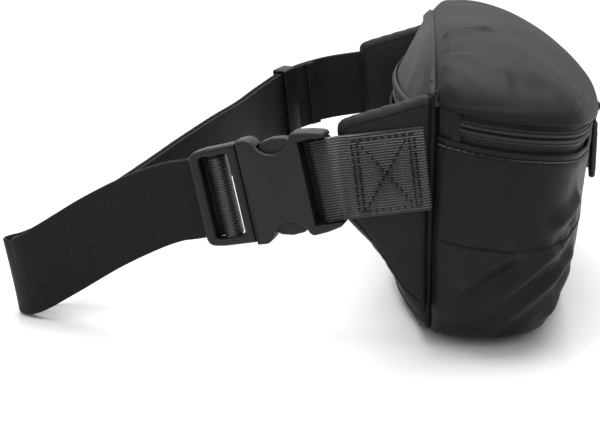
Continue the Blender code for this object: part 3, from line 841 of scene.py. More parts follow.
def divider():
    """The lining panel between the two compartments; its stitching along the edge is not drawn."""
    x = np.linspace(-1, 1, 61)
    rows = []
    for level in np.linspace(0, 1, 30):
        half = np.interp(level, DIVIDER_LEVELS, DIVIDER_HALF)
        place = x * half
        height = 0.0008 + level * (crest(place) - 0.0026)
        sag = 0.0006 * rippled(np.stack([place, 0 * place, height], axis=-1), 0.03, 5)
        rows.append(np.stack([place, 0.0006 + 0.0005 * smooth(level * 3) + sag * 0.2, height], axis=-1))
    panel = skin("divider_lining", np.stack(rows), LINING, lining=LINING, thick=0.0010)
    panel.modifiers["lining"].offset = 0.0
    done(panel, "root", "lining", "divider_panel")


# ---------------------------------------------------------------- zips


def zip_band(name, share, at, profile, material, flip=False):
    """A band along a zip. profile lists (distance outside the outline, function giving the height)."""
    grid = np.stack([at(share, out, height(share)) for out, height in profile])
    return skin(name, grid, material, flip=flip)


def half_tape(edge, middle, sign):
    """Profile of one half of a zip: from under the cloth's edge to the lip by the slit."""
    return [
        (-0.0026, lambda s: edge(s) - sign * 0.0026),
        (-0.0025, lambda s: edge(s) - sign * 0.0005),
        (-0.0022, lambda s: edge(s) + sign * 0.0006),
        (-0.0014, lambda s: middle(s) - sign * 0.0036),
        (-0.0007, lambda s: middle(s) - sign * 0.0022),
        (-0.0001, lambda s: middle(s) - sign * 0.0014),
        (0.0001, lambda s: middle(s) - sign * 0.0009),
        (0.0000, lambda s: middle(s) - sign * 0.0005),
        (-0.0005, lambda s: middle(s) - sign * 0.0002),
        (-0.0014, lambda s: middle(s) - sign * 0.0002),
    ]


def coil_threads(name, share, at, middle, sign, body):
    """The chain of short threads that sews the coil to the back of the tape."""
    path = walk(at(share, 0.0, middle(share)), 0.00118)
    ahead = np.gradient(path, axis=0)
    out = np.cross(ahead, (0, 0, 1.0))
    out /= np.linalg.norm(out, axis=1, keepdims=True)
    spans = []
    for place, direction, normal in zip(path, ahead, out):
        for low, high, deep in ((0.0009, 0.0019, -0.0001), (0.0025, 0.0032, 0.0006)):
            start = place + np.array([0, 0, -sign * low]) + direction * 0.15
            end = place + np.array([0, 0, -sign * high]) - direction * 0.15
            spans.append((start - normal * deep, end - normal * (deep + 0.0003), normal))
    return stitches(name, spans, 0.00027, THREAD, body, "zip_coil")


def front_zip():
    share = np.linspace(-GARAGE_SHARE, GARAGE_SHARE, 300) * 1.008

    def middle(s):
        return (zip_low(s) + zip_high(s)) / 2

    lower = zip_band("front_zip_lower", share, zip_points, half_tape(zip_low, middle, 1.0), TAPE)
    done(lower, "root", "zip_tape", "front_zip_tape_lower", "front_zip_coil_lower")
    upper = zip_band("front_zip_upper", share, zip_points, half_tape(zip_high, middle, -1.0), TAPE, True)
    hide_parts("front_zip_tape_upper", "front_zip_coil_upper")
    blend_lid(upper)
    sewn = share * 0.985
    coil_threads("front_coil_threads_lower", sewn, zip_points, middle, 1.0, "root")
    coil_threads("front_coil_threads_upper", sewn, zip_points, middle, -1.0, "lid")
    for side, sign in (("near", -1.0), ("far", 1.0)):
        ends = sign * np.linspace(GARAGE_SHARE - 0.004, 0.9985, 26)
        rows = []
        for level in np.linspace(0, 1, 22):
            height = zip_low(ends) - 0.0012 + level * (zip_high(ends) - zip_low(ends) + 0.0030)
            bulge = 0.0011 * smooth(np.minimum(level, 1 - level) * 5) - 0.0010
            rolled = 0.0012 * smooth(1 - (np.abs(ends) - GARAGE_SHARE + 0.004) / 0.006)
            tuck = 0.0024 * smooth((np.abs(ends) - 0.985) / 0.013)
            lift = bulge - rolled * 0.8 - tuck + 0.0004 * bell(np.abs(ends) - 0.945, 0.008)
            rows.append(zip_points(ends, lift, height))
        tab = skin("zip_end_" + side, np.stack(rows), BODY, flip=sign < 0)
        done(tab, "root", "body_nylon", "zip_garage_" + side)


def blend_lid(obj):
    """Moves the piece's placement into its mesh."""
    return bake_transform(obj)


# ---------------------------------------------------------------- lid

LID_FOLD, LID_HOLLOW = (0.0036, 0.0020), (0.0070, -0.0010)
LID_FOLDS = mirrored(
    [
        [(-0.068, -0.001, 0.134), (-0.060, -0.008, 0.137),
         (-0.054, -0.018, 0.139), (-0.042, -0.030, 0.138)],
        [(-0.092, -0.002, 0.130), (-0.099, -0.012, 0.130),
         (-0.108, -0.022, 0.127), (-0.112, -0.034, 0.123)],
    ]
)
LID_HOLLOWS = mirrored(
    [
        [(-0.118, -0.030, 0.124), (-0.114, -0.043, 0.121), (-0.110, -0.052, 0.117)],
        [(-0.086, -0.0005, 0.131), (-0.090, -0.006, 0.131), (-0.100, -0.008, 0.128)],
    ]
)
DARTS = mirrored(
    [
        [(-0.1135, -0.0594, 0.1075), (-0.1080, -0.0610, 0.1100),
         (-0.0950, -0.0640, 0.1120), (-0.069, -0.069, 0.111)],
    ]
)


def lid_grid(share, row):
    """The lid from its edge over the zip (row 0) to the crest (row 1)."""
    x, y, dx, dy = outline(share, TOP_PLAN)
    lap = LID_LAP * np.minimum(1.0, 12 * (1 - np.abs(share)))
    back = np.sign(share) * SEAM_X * np.abs(share) ** 0.75
    flat_x = (x + dx * lap) * (1 - row) + back * row
    flat_y = (y + dy * lap) * (1 - row)
    high = crest(back) + LID_CROWN * np.minimum(1.0, 6 * (1 - np.abs(share)))
    low = zip_high(share)
    rise = (1 - (1 - np.minimum(row / 0.78, 1.0)) ** 1.6) ** (1 / 1.6)
    over = np.maximum(0.0, (row - 0.90) / 0.10)
    fall = (high - crest(back)) * over**1.6
    return np.stack([flat_x, flat_y - 2 * GAP, low + (high - low) * rise - fall], axis=-1)


def tucked(grid, *steps):
    """Rows past a grid's last row, each a step away in y and z, that turn the cloth's edge in."""
    return np.stack([grid[-1] + np.array([0.0, y, z]) for y, z in steps])


def lid():
    share = end_shares(321)
    rows = np.linspace(0, 1, 110) ** 1.35
    spread, row = np.meshgrid(share, rows)
    grid = lid_grid(spread, row)
    out = normals(grid)
    relief = 0.0008 * rippled(grid, 0.050, 11) + 0.00012 * rippled(grid, 0.016, 12)
    for line in LID_FOLDS:
        relief += fold(grid, line, *LID_FOLD)
    for line in LID_HOLLOWS:
        relief += fold(grid, line, *LID_HOLLOW)
    for line in DARTS:
        distance, along = near_line(grid, line)
        fade = smooth((1 - along) * 2.5)
        relief -= 0.0026 * bell(distance, 0.0013) * fade
        relief += 0.0016 * bell(distance, 0.0050) * fade
    edge = 1 - np.abs(spread)
    puff = smooth(row * 9) * smooth((1 - row) * 16)
    relief = relief * puff * smooth(edge / 0.02)
    relief += 0.0004 * bell(row - 0.03, 0.03) * smooth(edge / 0.04)
    uneven = 0.4 + 0.8 * rippled(grid, 0.012, 13)
    relief += 0.00012 * uneven * np.sin(spread * 300) * np.exp(-row / 0.04)
    relief -= 0.0009 * smooth(1 - edge / 0.006) ** 1.5
    grid = grid + relief[..., None] * out
    turned = ((-0.0016, 0.0016), (-0.0010, 0.0002), (0.0002, -0.0003))
    lip = [zip_points(share, out, zip_high(share) + rise) for out, rise in turned]
    full = np.concatenate([np.stack(lip), grid, tucked(grid, (0.0010, -0.0014), (0.0016, -0.0046))])
    dome = to_mesh(skin("lid_shell", full, LID_SHADED_NYLON, lining=LINING))
    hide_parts("lid_dome")
    blend_lid(dome)
    crest_binding()


def seam_loop():
    """x, z along the sewn seam: up the near side, over the crest and down the far side."""
    heights = np.linspace(0.003, 0.1180, 60)
    half = rounded(heights, PLAN_HEIGHTS, PLAN_SEAM)
    half = np.where(heights > 0.085, SEAM_X, half)
    over = np.linspace(-SEAM_X, SEAM_X, 120)
    x = np.concatenate([-half, over[1:-1], half[::-1]])
    z = np.concatenate([heights, crest(over[1:-1]), heights[::-1]])
    return walk(np.stack([x, z], axis=-1), 0.0016)


def crest_binding():
    """The bound seam allowance: over the crest, and down each side to the floor."""
    loop = seam_loop()
    ahead = np.gradient(loop, axis=0)
    ahead = np.stack([np.convolve(ahead[:, i], np.ones(7) / 7, "same") for i in (0, 1)], axis=-1)
    out = np.stack([-ahead[:, 1], ahead[:, 0]], axis=-1)
    out /= np.linalg.norm(out, axis=1, keepdims=True)
    across = ((-0.0034, -0.0040), (-0.0012, -0.0020), (0.0001, -0.0011), (0.0012, -0.0008))
    across += ((0.0023, -0.0011), (0.0036, -0.0020), (0.0056, -0.0040))
    rows = []
    for y, lift in across:
        place = loop + out * lift
        rows.append(np.stack([place[:, 0], np.full(len(loop), y), place[:, 1]], axis=-1))
    band = skin("seam_binding", np.stack(rows), BODY, flip=True)
    done(band, "root", "binding", "crest_binding", "seam_piping_near", "seam_piping_far")


# ---------------------------------------------------------------- rear compartment


REAR_LID_FOLD = (0.0048, 0.0026)
REAR_LID_FOLDS = mirrored([[(-0.100, 0.010, 0.118), (-0.085, 0.014, 0.121), (-0.068, 0.015, 0.123)]])
CHANNEL_HEIGHTS, CHANNEL_SHARES, CHANNEL_DEPTH = (0.034, 0.062), (-0.42, 0.42), 0.0011


def rear_outline(share, half, middle, out=0.0):
    sag = middle - REAR_Y
    radius = (half**2 + sag**2) / (2 * sag)
    turn = np.arcsin(half / radius) * share
    return (radius + out) * np.sin(turn), middle - radius + (radius + out) * np.cos(turn)


def rear_points(share, out, height):
    x, y = rear_outline(share, REAR_LID_HALF, REAR_ZIP_Y, out)
    return np.stack([x, y, np.broadcast_to(height, x.shape)], axis=-1)


def rear():
    share = end_shares(221)
    heights = (np.linspace(0, 1, 80) ** 0.9)[:, None] * np.full(share.shape, REAR_ZIP_LOW - 0.0004)[None, :]
    spread = np.broadcast_to(share, heights.shape)
    half, middle = (rounded(heights, REAR_HEIGHTS, v) for v in (REAR_HALF, REAR_MIDDLE))
    x, y = rear_outline(spread, half, middle)
    grid = np.stack([x, y, heights], axis=-1)
    out = normals(grid, flip=True)
    edge, top = 1 - np.abs(spread), REAR_ZIP_LOW - heights
    relief = 0.0007 * rippled(grid, 0.040, 21) + 0.0002 * rippled(grid, 0.012, 22)
    for at in CHANNEL_HEIGHTS:
        relief -= CHANNEL_DEPTH * bell(heights - at, 0.0013) * smooth(edge / 0.12)
    for at in CHANNEL_SHARES:
        channel = CHANNEL_DEPTH * bell(spread - at, 0.012)
        relief -= channel * smooth(top / 0.012) * smooth(heights / 0.02)
    relief -= 0.0018 * smooth(1 - edge / 0.012) + 0.0015 * smooth(1 - top / 0.0012)
    grid = grid + (relief * smooth(heights / 0.006))[..., None] * out
    inner = np.array([0.0, 0.006, 0.0])
    floor = [inner + (grid[0] - inner) * size for size in np.linspace(0.05, 0.98, 7)]
    panel = skin("rear_pad", np.concatenate([np.stack(floor), grid]), MESH, flip=True, lining=LINING)
    done(panel, "root", "body_nylon", "rear_lower_panel", "rear_foam_pad")
    out = normals(grid, flip=True)
    height = np.full(share.shape, REAR_ZIP_LOW - REAR_STITCH_DROP)
    line, normal = (line_at(grid, values, height)[5:-5] for values in (grid, out))
    spans = sewn_line(line, normal, 0.0026, 0.0011, 0.0001)
    stitches("rear_topstitch", spans, 0.00026, THREAD_DARK, "root")
    rear_zip()
    rear_lid()


def level_at(height):
    """The height as a function of the share along a zip that runs level."""
    return lambda share: np.full(np.shape(share), height)


def rear_zip():
    share = np.linspace(-REAR_ZIP_SHARE, REAR_ZIP_SHARE, 200) * 1.008
    low, high = level_at(REAR_ZIP_LOW), level_at(REAR_ZIP_HIGH)
    middle = level_at((REAR_ZIP_LOW + REAR_ZIP_HIGH) / 2)
    lower = zip_band("rear_zip_lower", share, rear_points, half_tape(low, middle, 1.0), TAPE, True)
    done(lower, "root", "zip_tape", "rear_zip_tape_lower", "rear_zip_coil_lower")
    upper = zip_band("rear_zip_upper", share, rear_points, half_tape(high, middle, -1.0), TAPE)
    done(upper, "rear_lid", "zip_tape", "rear_zip_tape_upper", "rear_zip_coil_upper")
    coil_threads("rear_coil_threads_lower", share[::-1], rear_points, middle, 1.0, "root")
    coil_threads("rear_coil_threads_upper", share[::-1], rear_points, middle, -1.0, "rear_lid")
    for side, sign in (("near", -1.0), ("far", 1.0)):
        ends = sign * np.linspace(REAR_ZIP_SHARE - 0.002, 0.999, 20)
        rows = []
        for level in np.linspace(0, 1, 18):
            height = REAR_ZIP_LOW - 0.0010 + level * (REAR_ZIP_HIGH - REAR_ZIP_LOW + 0.0022)
            lift = 0.0010 * smooth(np.minimum(level, 1 - level) * 5) - 0.0011
            rolled = 0.0009 * smooth(1 - (np.abs(ends) - REAR_ZIP_SHARE) / 0.010)
            tuck = 0.002 * smooth((np.abs(ends) - 0.985) / 0.014)
            rows.append(rear_points(ends, lift - rolled - tuck, height))
        tab = skin("rear_zip_end_" + side, np.stack(rows), BODY, flip=sign > 0)
        done(tab, "root", "body_nylon", "rear_garage_" + side)


def rear_lid():
    share = end_shares(201)
    rows = np.linspace(0, 1, 60)
    spread, row = np.meshgrid(share, rows)
    x, y = rear_outline(spread, REAR_LID_HALF, REAR_LID_Y, 0.0008)
    top_x = spread * (SEAM_X - 0.0085)
    t = row**0.95
    low, high = REAR_ZIP_HIGH, crest(top_x) - 0.0004
    grid = np.stack(
        [x * (1 - t) + top_x * t, y * (1 - t) + 0.0022 * t, low + (high - low) * row**0.92], axis=-1
    )
    out = normals(grid, flip=True)
    edge = 1 - np.abs(spread)
    inside = smooth(edge / 0.05) * smooth(row * 10) * smooth((1 - row) * 8)
    relief = (0.0002 + 0.0010 * rippled(grid, 0.035, 31) + 0.0003 * rippled(grid, 0.012, 32)) * inside
    for line in REAR_LID_FOLDS:
        relief += fold(grid, line, *REAR_LID_FOLD)
    relief -= 0.0012 * smooth(1 - edge / 0.012)
    grid = grid + relief[..., None] * out
    turned = ((-0.0014, 0.0014), (0.0002, -0.0003))
    lip = np.stack([rear_points(share, out, REAR_ZIP_HIGH + rise) for out, rise in turned])
    full = np.concatenate([lip, grid, tucked(grid, (-0.0008, -0.0014), (-0.0012, -0.0044))])
    cover = to_mesh(skin("rear_lid_shell", full, BODY, flip=True, lining=LINING, thick=0.0009))
    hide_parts("rear_lid_panel")
    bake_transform(cover)


# ---------------------------------------------------------------- wings

WING_STITCH = 0.86  # the stitched line's size, as a share of the outline
WING_OUTER, WING_INNER, WING_SEAM = 0.1201, 0.1110, 0.1155  # distances from the bag's middle
WING_PRESSURE, WING_CAP, WING_VOXEL = 3.0, 0.0013, 0.0022
WING_RINGS = [  # size of each ring as a share of the outline, and how far it swells from the seam
    (0.02, 1.0),
    (0.35, 1.0),
    (0.62, 0.97),
    (0.80, 0.88),
    (0.90, 0.70),
    (0.965, 0.40),
    (1.0, 0.0),
]
WING_SPARE = 1.035  # the cut is a little larger than the sewn pad, which draws in as it fills
WING_OUTLINE = [
    (0.0010, 0.0140, 0.001),
    (0.0010, 0.1185, 0.002),
    (0.0410, 0.1062, 0.005),
    (0.0434, 0.1035, 0.004),
    (0.0392, 0.0610, 0.005),
    (0.0250, 0.0440, 0.010),
    (0.0110, 0.0225, 0.006),
]


def wing(side, sign):
    """A padded panel of two cloths, crowned between its sewn edges."""
    edge = np.array(corners(WING_OUTLINE, 6))
    edge = walk(np.concatenate([edge, edge[:1]]), 0.0016)[:-1]
    middle = np.array([0.018, 0.080])
    edge = middle + (edge - middle) * WING_SPARE
    edge[:, 0] = np.maximum(edge[:, 0], 0.0006)
    profile = [(size, WING_SEAM + (WING_OUTER - WING_SEAM) * swell) for size, swell in WING_RINGS]
    profile += [(size, WING_SEAM + (WING_INNER - WING_SEAM) * swell) for size, swell in WING_RINGS[-2::-1]]
    points = []
    for size, x in profile:
        points += [(sign * x, y, z) for y, z in middle + (edge - middle) * size]
    faces = grid_faces(len(profile), len(edge), flip=sign > 0, ring=True).tolist()
    last = (len(profile) - 1) * len(edge)
    cap = list(range(len(edge)))[:: int(-sign)]
    faces += [cap, [last + i for i in cap[::-1]]]
    pad = mesh_piece(f"wing_{side}", points, faces, WING)
    pad = inflate(pad, WING_PRESSURE, WING_CAP, WING_VOXEL)
    creased(pad, sign)
    done(pad, "root", "body_nylon", *[f"wing_{side}_{layer}" for layer in ("outer", "foam", "inner")])
    for face, way in (("outer", 1.0), ("inner", -1.0)):
        path = [(sign * WING_SEAM, y, z) for y, z in middle + (edge - middle) * WING_STITCH if y > 0.004]
        start = int(np.argmax([p[2] - p[1] for p in path]))
        path = path[start:] + path[:start]
        line, outs = laid_on(pad, path, Vector((sign * way, 0, 0)))
        spans = sewn_line(line, outs, 0.0020, 0.0012, 0.0001)
        stitches(f"wing_{side}_{face}_stitch", spans, 0.00022, THREAD_BODY, "root")


def laid_on(obj, points, out):
    """Each point dropped from outside onto the object's surface, and the surface's normals there."""
    tree = BVHTree.FromObject(obj, bpy.context.evaluated_depsgraph_get())
    places, outs = [], []
    for point in points:
        hit, normal = tree.ray_cast(Vector(point) + SHIFT + out * 0.05, -out)[:2]
        if hit is not None:
            places.append(hit - SHIFT)
            outs.append(normal)
    return np.array(places), np.array(outs)


def creased(pad, sign):
    """Presses the seams of the webbing and a few slack folds into a wing."""
    mesh = pad.data
    points = np.empty(len(mesh.vertices) * 3, np.float32)
    mesh.vertices.foreach_get("co", points)
    points = points.reshape(-1, 3).astype(float)
    local = points - np.array(SHIFT)
    away = np.where(np.abs(local[:, 0]) > WING_SEAM, 1.0, -1.0)
    relief = 0.0005 * rippled(local, 0.030, 41 + int(sign))
    x = sign * 0.1195
    for line in (
        [(x, 0.004, 0.020), (x, 0.014, 0.040), (x, 0.020, 0.056)],
        [(x, 0.008, 0.110), (x, 0.024, 0.108), (x, 0.038, 0.104)],
    ):
        relief += fold(local, line, 0.004, 0.0008)
    points[:, 0] += sign * away * relief
    mesh.vertices.foreach_set("co", points.astype(np.float32).ravel())
    mesh.update()


# ---------------------------------------------------------------- belt


def smooth_route(points, steps):
    points = [Vector(p) for p in points]
    ends = [2 * points[0] - points[1]] + points + [2 * points[-1] - points[-2]]
    line = []
    for a, b, c, d in zip(ends, ends[1:], ends[2:], ends[3:]):
        for i in range(steps):
            t = i / steps
            bend = (2 * a - 5 * b + 4 * c - d) * t**2 + (3 * b - a - 3 * c + d) * t**3
            line.append(0.5 * (2 * b + (c - a) * t + bend))
    return line + [points[-1]]


def bend_share(at):
    return math.exp(-(((at - Vector(BEND)).length / BEND_REACH) ** 2))


def ribbon(name, line, material, up=None):
    """Webbing along a line, with rounded selvedges: its width stands as near upright as it can."""
    turns = np.linspace(0, np.pi, 5)
    half, thick = WEBBING_WIDTH / 2, WEBBING / 2
    flat = np.linspace(-half + thick, half - thick, WEBBING_COLUMNS)
    section = [(y, thick) for y in flat]
    section += [(half - thick + thick * math.sin(t), thick * math.cos(t)) for t in turns[1:-1]]
    section += [(y, -thick) for y in flat[::-1]]
    section += [(-half + thick - thick * math.sin(t), -thick * math.cos(t)) for t in turns[1:-1]]
    points, uv, run = [], [], 0.0
    for i, at in enumerate(line):
        along = (line[min(i + 1, len(line) - 1)] - line[max(i - 1, 0)]).normalized()
        up_here = Vector((0, BEND_LEAN * bend_share(at), 1)) if up is None else up
        wide = (up_here - up_here.dot(along) * along).normalized()
        out = along.cross(wide).normalized()
        if i:
            run += (at - line[i - 1]).length
        for y, z in section:
            points.append(at + wide * y + out * z)
            uv.append((run, y + half))
    count = len(section)
    faces = [tuple(int(i) for i in f) for f in grid_faces(len(line), count, ring=True)]
    last = (len(line) - 1) * count
    faces += [tuple(range(count))[::-1], tuple(last + i for i in range(count))]
    return mesh_piece(name, points, faces, material, uv)


def buckle_frame():
    up = (Vector((0, 0, 1)) - BUCKLE_ALONG.z * BUCKLE_ALONG).normalized()
    out = BUCKLE_ALONG.cross(-up)
    return Matrix.Translation(BUCKLE_AT) @ Matrix((BUCKLE_ALONG, -up, out)).transposed().to_4x4()


def belt():
    to_frame = buckle_frame()
    down = (to_frame.to_3x3() @ Vector((0, 1, 0))).normalized()
    web = [Vector(p) for p in ANCHOR_ROUTE]
    web += [to_frame @ Vector((x, 0, z)) for x, z in FEMALE_WRAP]
    anchor = ribbon("anchor_webbing", smooth_route(web, 8), WEB_BOX, -down)
    done(anchor, "root", "webbing", "anchor_web_near")
    box_stitch("near", -1.0, web[:3])
    route = [Vector(p) for p in STRAP_ROUTE]
    route += [to_frame @ Vector((x, 0, -0.0033)) for x in (0.0790, 0.0696, 0.0615)]
    line = smooth_route(route, ROUTE_STEPS)
    with_buckle(ribbon("belt_webbing", line, WEB_STRAP), "waist_strap")
    behind = []
    for i in range(int(TAIL_START * ROUTE_STEPS), len(line)):
        along = (line[min(i + 1, len(line) - 1)] - line[i - 1]).normalized()
        outward = along.cross(Vector((0, 0, 1))).normalized()
        at = line[i] - outward * (TAIL_GAP + TAIL_SLACK * bend_share(line[i]))
        if not behind or (at - behind[-1]).length > 0.0010:
            behind.append(at)
    with_buckle(ribbon("belt_tail", behind, WEB_STRAP), "strap_tail")
    wrap = smooth_route([to_frame @ Vector((x, 0, z)) for x, z in MALE_WRAP], 6)
    done(ribbon("buckle_wrap", wrap, WEB_BOX, -down), "male_buckle", "webbing", "strap_wrap")
    far = [Vector(p) for p in STRAP_ROUTE[:3]]
    box_stitch("far", 1.0, far)
    tail_hem(behind)


def with_buckle(obj, node_name):
    """Hides the CAD node that the piece stands for, and moves the piece's placement into its mesh."""
    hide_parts(node_name)
    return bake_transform(obj)


def tail_hem(behind):
    """The tail's end is folded twice and sewn."""
    first = behind[:8]
    along = (first[1] - first[0]).normalized()
    outward = along.cross(Vector((0, 0, 1))).normalized()
    hem = ribbon("tail_hem", [p - outward * (WEBBING * 0.7) for p in first[:4]], WEB_STRAP)
    done(hem, "root", "webbing")
    at = first[2] - outward * (WEBBING * 1.25)
    up = Vector((0, 0, 1))
    wide = (up - up.dot(along) * along).normalized()
    line = np.array([at - wide * 0.016, at + wide * 0.016])
    outs = np.array([-outward, -outward])
    stitches("tail_hem_stitch", sewn_line(line, outs, 0.0022, 0.0010, 0.0001), 0.00025, THREAD_DARK, "root")


def box_stitch(side, sign, line):
    """A box and a cross of thread through the webbing's anchored end."""
    half = WEBBING_WIDTH / 2
    along = (line[2] - line[0]).normalized()
    wide = (Vector((0, 0, 1)) - along.z * along).normalized()
    out = Vector((sign, 0, 0))
    out = (out - out.dot(along) * along - out.dot(wide) * wide).normalized()
    length = (line[2] - line[0]).length

    def at(share, height):
        return np.array(line[0] + along * (share * length) + wide * (height * half) + out * (WEBBING / 2))

    left, right, top = 0.96, 0.13, 0.86
    runs = [
        ((left, -top), (left, top)),
        ((left - 0.07, -top), (left - 0.07, top)),
        ((right, -top), (right, top)),
        ((right + 0.07, -top), (right + 0.07, top)),
        ((left, top), (right, top)),
        ((left, -top), (right, -top)),
        ((left - 0.07, top), (right + 0.07, -top)),
        ((left - 0.07, -top), (right + 0.07, top)),
    ]
    spans = []
    for a, b in runs:
        spans += sewn_line(np.array([at(*a), at(*b)]), np.array([out, out]), 0.0022, 0.0010, 0.00025)
    stitches(f"box_stitch_{side}", spans, 0.00045, THREAD_DARK, "root")


# ---------------------------------------------------------------- buckle

# The lower release arm, from its root to the tip and back: (along, across, corner radius)
ARM_OUTLINE = [
    (0.0379, 0.0088, 0.0003),
    (0.0300, 0.0088, 0.001),
    (0.0180, 0.0112, 0.002),
    (0.0122, 0.0150, 0.002),
    (0.0118, 0.0196, 0.002),
    (0.0150, 0.0222, 0.004),
    (0.0210, 0.0228, 0.005),
    (0.0268, 0.0216, 0.003),
    (0.0288, 0.0188, 0.002),
    (0.0262, 0.0142, 0.002),
    (0.0300, 0.0118, 0.002),
    (0.0379, 0.0118, 0.0003),
]


def rectangle(low, high, low_radius, high_radius=None, steps=5):
    """A rectangle between two corners, with one radius at its low x and one at its high x."""
    (left, bottom), (right, top) = low, high
    other = low_radius if high_radius is None else high_radius
    lower = [(left, bottom, low_radius), (right, bottom, other)]
    return corners(lower + [(right, top, other), (left, top, low_radius)], steps)


def both_sides(half):
    """An outline from its upper half, which runs from one end to the other: y mirrored, in reverse."""
    return half + [(x, -y, r) for x, y, r in reversed(half)]


def hard_edged(obj):
    """Smooth faces, with the edges that cuts have left kept sharp."""
    obj.data.shade_smooth()
    obj.data.set_sharp_from_angle(angle=math.radians(35))


def female_half():
    to_frame = buckle_frame()
    turns = np.linspace(0.42, math.pi - 0.42, 17)
    scoop = [(0.0212 + 0.0098 * math.cos(a), -0.0272 + 0.0112 * math.sin(a), 0.0) for a in turns]
    upper = [(-0.0044, -0.0182, 0.002), (-0.0036, -0.0216, 0.004)]
    upper += [(0.0035, -0.0232, 0.006), (0.0108, -0.0240, 0.003)]
    upper += scoop[::-1]
    upper += [(0.0325, -0.0246, 0.004), (0.0380, -0.0243, 0.0008)]
    outside = corners(both_sides(upper), 6)
    web = BUCKLE_WEB
    slot = rectangle((0.0008, -web), (0.0062, web), 0.001)
    body = plate("buckle_socket", [outside, slot], 0.0116, 0.0015, ACETAL, to_frame)
    body = cut(body, block((0.0110, -0.0206, -0.0036), (0.0600, 0.0206, 0.0036), to_frame))
    body = cut(body, block((0.0010, -web, -0.0030), (0.0088, web, 0.0200), to_frame))
    body = cut(body, block((-0.0200, -web, 0.0016), (0.0020, web, 0.0200), to_frame))
    body = cut(body, block((-0.0200, -web, -0.0200), (0.0008, web, -0.0019), to_frame))
    hard_edged(body)
    done(body, "root", "buckle_plastic", "buckle_female")


def male_half():
    to_frame = buckle_frame()
    outer = [(0.0384, -0.0234, 0.0008), (0.0540, -0.0230, 0.004), (0.0626, -0.0218, 0.0056)]
    outer += [(x, -y, r) for x, y, r in reversed(outer)]
    rails = LADDER_WEB
    first = rectangle((0.0433, -rails), (0.0482, rails), 0.0008, steps=4)
    second = rectangle((0.0520, -rails), (0.0576, rails), 0.0008, 0.0016, steps=4)
    outlines = [corners(outer, 6), first, second]
    ladder = plate("buckle_ladder", outlines, 0.0088, 0.0016, ACETAL, to_frame, -0.0004)
    ladder = cut(ladder, block((0.0440, -rails, 0.0010), (0.0560, rails, 0.0100), to_frame))
    ladder = cut(ladder, block((0.0440, -rails, -0.0100), (0.0700, rails, -0.0022), to_frame))
    prong = [(0.0180, -0.0022, 0.001), (0.0180, 0.0022, 0.001)]
    prong += [(0.0390, 0.0042, 0.0005), (0.0390, -0.0042, 0.0005)]
    tongue = plate("tongue", [corners(prong)], 0.0048, 0.0009, ACETAL, to_frame, -0.0002)
    half = joined([ladder, tongue], "buckle_ladder")
    hard_edged(half)
    done(half, "male_buckle", "buckle_plastic", "buckle_male")
    for side, sign in (("upper", -1.0), ("lower", 1.0)):
        shape = corners([(x, sign * y, radius) for x, y, radius in ARM_OUTLINE], 4)
        finger = plate("buckle_arm_" + side, [shape], 0.0062, 0.0012, ACETAL, to_frame)
        done(finger, side + "_arm", "buckle_plastic", "release_arm_" + side)


def keeper():
    low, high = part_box("strap_keeper")
    along = Vector(JOINTS["keeper_slide"]["axis"]).normalized()
    up = (Vector((0, 0, 1)) - along.z * along).normalized()
    turn = Matrix((up, along.cross(up), -along)).transposed().to_4x4()
    to_frame = Matrix.Translation((low + high) / 2 - SHIFT) @ turn
    outer = rectangle((-0.0205, -0.0046), (0.0205, 0.0046), 0.0016)
    inner = rectangle((-0.0194, -0.0036), (0.0194, 0.0036), 0.0006)
    loop = plate("belt_keeper", [outer, inner], 0.0100, 0.0004, ACETAL, to_frame)
    done(loop, "keeper", "buckle_plastic", "strap_keeper")


# ---------------------------------------------------------------- sliders

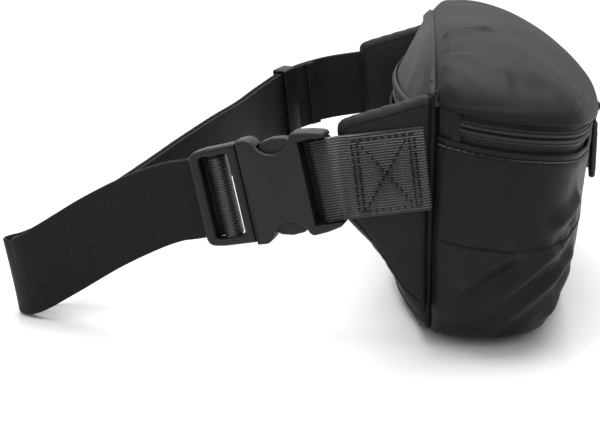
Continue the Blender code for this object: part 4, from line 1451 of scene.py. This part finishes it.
# Outlines in a slider's own x and z, each corner with its radius
SHIELD = [
    (-0.0036, -0.0052, 0.002),
    (0.0036, -0.0052, 0.002),
    (0.0050, 0.0010, 0.003),
    (0.0034, 0.0050, 0.002),
    (-0.0034, 0.0050, 0.002),
    (-0.0050, 0.0010, 0.003),
]
WIRE_RING = [
    (-0.0024, 0.0, 0.0012),
    (0.0024, 0.0, 0.0012),
    (0.0026, -0.0070, 0.0012),
    (0.0015, -0.0102, 0.0012),
    (-0.0015, -0.0102, 0.0012),
    (-0.0026, -0.0070, 0.0012),
]
PULL_TAB = [
    (-0.0033, -0.0385, 0.0028),
    (0.0033, -0.0385, 0.0028),
    (0.0035, -0.0250, 0.02),
    (0.0028, -0.0082, 0.0022),
    (-0.0028, -0.0082, 0.0022),
    (-0.0035, -0.0250, 0.02),
]


def slider_frame(joint):
    """From a slider's own axes to the seam plane's frame, with its origin on the pull's pin."""
    axis = Vector(JOINTS[joint]["axis"])
    turn = math.atan2(-axis.y, -axis.x)
    return Matrix.Translation(Vector(JOINTS[joint]["pos_m"]) - SHIFT) @ Matrix.Rotation(turn, 4, "Z")


def slider(name, body, joint):
    """A painted slider with its bail, a wire link and a moulded pull."""
    pin = slider_frame(joint)
    upright = Matrix.Rotation(math.radians(90), 4, "X")
    behind = pin @ Matrix.Translation((0, 0.0020, -0.0001)) @ upright
    crown = plate(f"{name}_crown", [corners(SHIELD, 4)], 0.0026, 0.0008, METAL, behind)
    arch = []
    for t in np.linspace(0, math.pi, 13):
        arch.append(pin @ Vector((0.0, 0.0012 - 0.0034 * math.sin(t), 0.0026 - 0.0066 * t / math.pi)))
    bail = to_mesh(tube(f"{name}_bail", arch, 0.0009, METAL))
    whole = joined([crown, bail], f"{name}_crown")
    done(whole, body + "_slider", "painted_metal", f"{name}_slider")
    wire = [pin @ Vector((x, 0.0, z)) for x, z in corners(WIRE_RING, 4)]
    link = tube(f"{name}_wire", wire, 0.0006, METAL, cyclic=True)
    done(link, body + "_pull", "painted_metal", f"{name}_link")
    pull = plate(f"{name}_tab", [corners(PULL_TAB, 6)], 0.0032, 0.0013, PULL, pin @ upright)
    raised = rectangle((-0.0014, -0.0350), (0.0014, -0.0140), 0.001)
    rib = plate(f"{name}_rib", [raised], 0.0038, 0.0004, PULL, pin @ upright)
    done(joined([pull, rib], f"{name}_tab"), body + "_pull", "pull_plastic", f"{name}_pull")


# ---------------------------------------------------------------- the whole pack


def main():
    camera()
    studio()
    front_body()
    divider()
    front_zip()
    lid()
    rear()
    wing("near", -1.0)
    wing("far", 1.0)
    belt()
    female_half()
    male_half()
    keeper()
    slider("front_near", "near", "near_pull_swing")
    slider("front_far", "far", "far_pull_swing")
    slider("rear", "rear", "rear_pull_swing")


main()
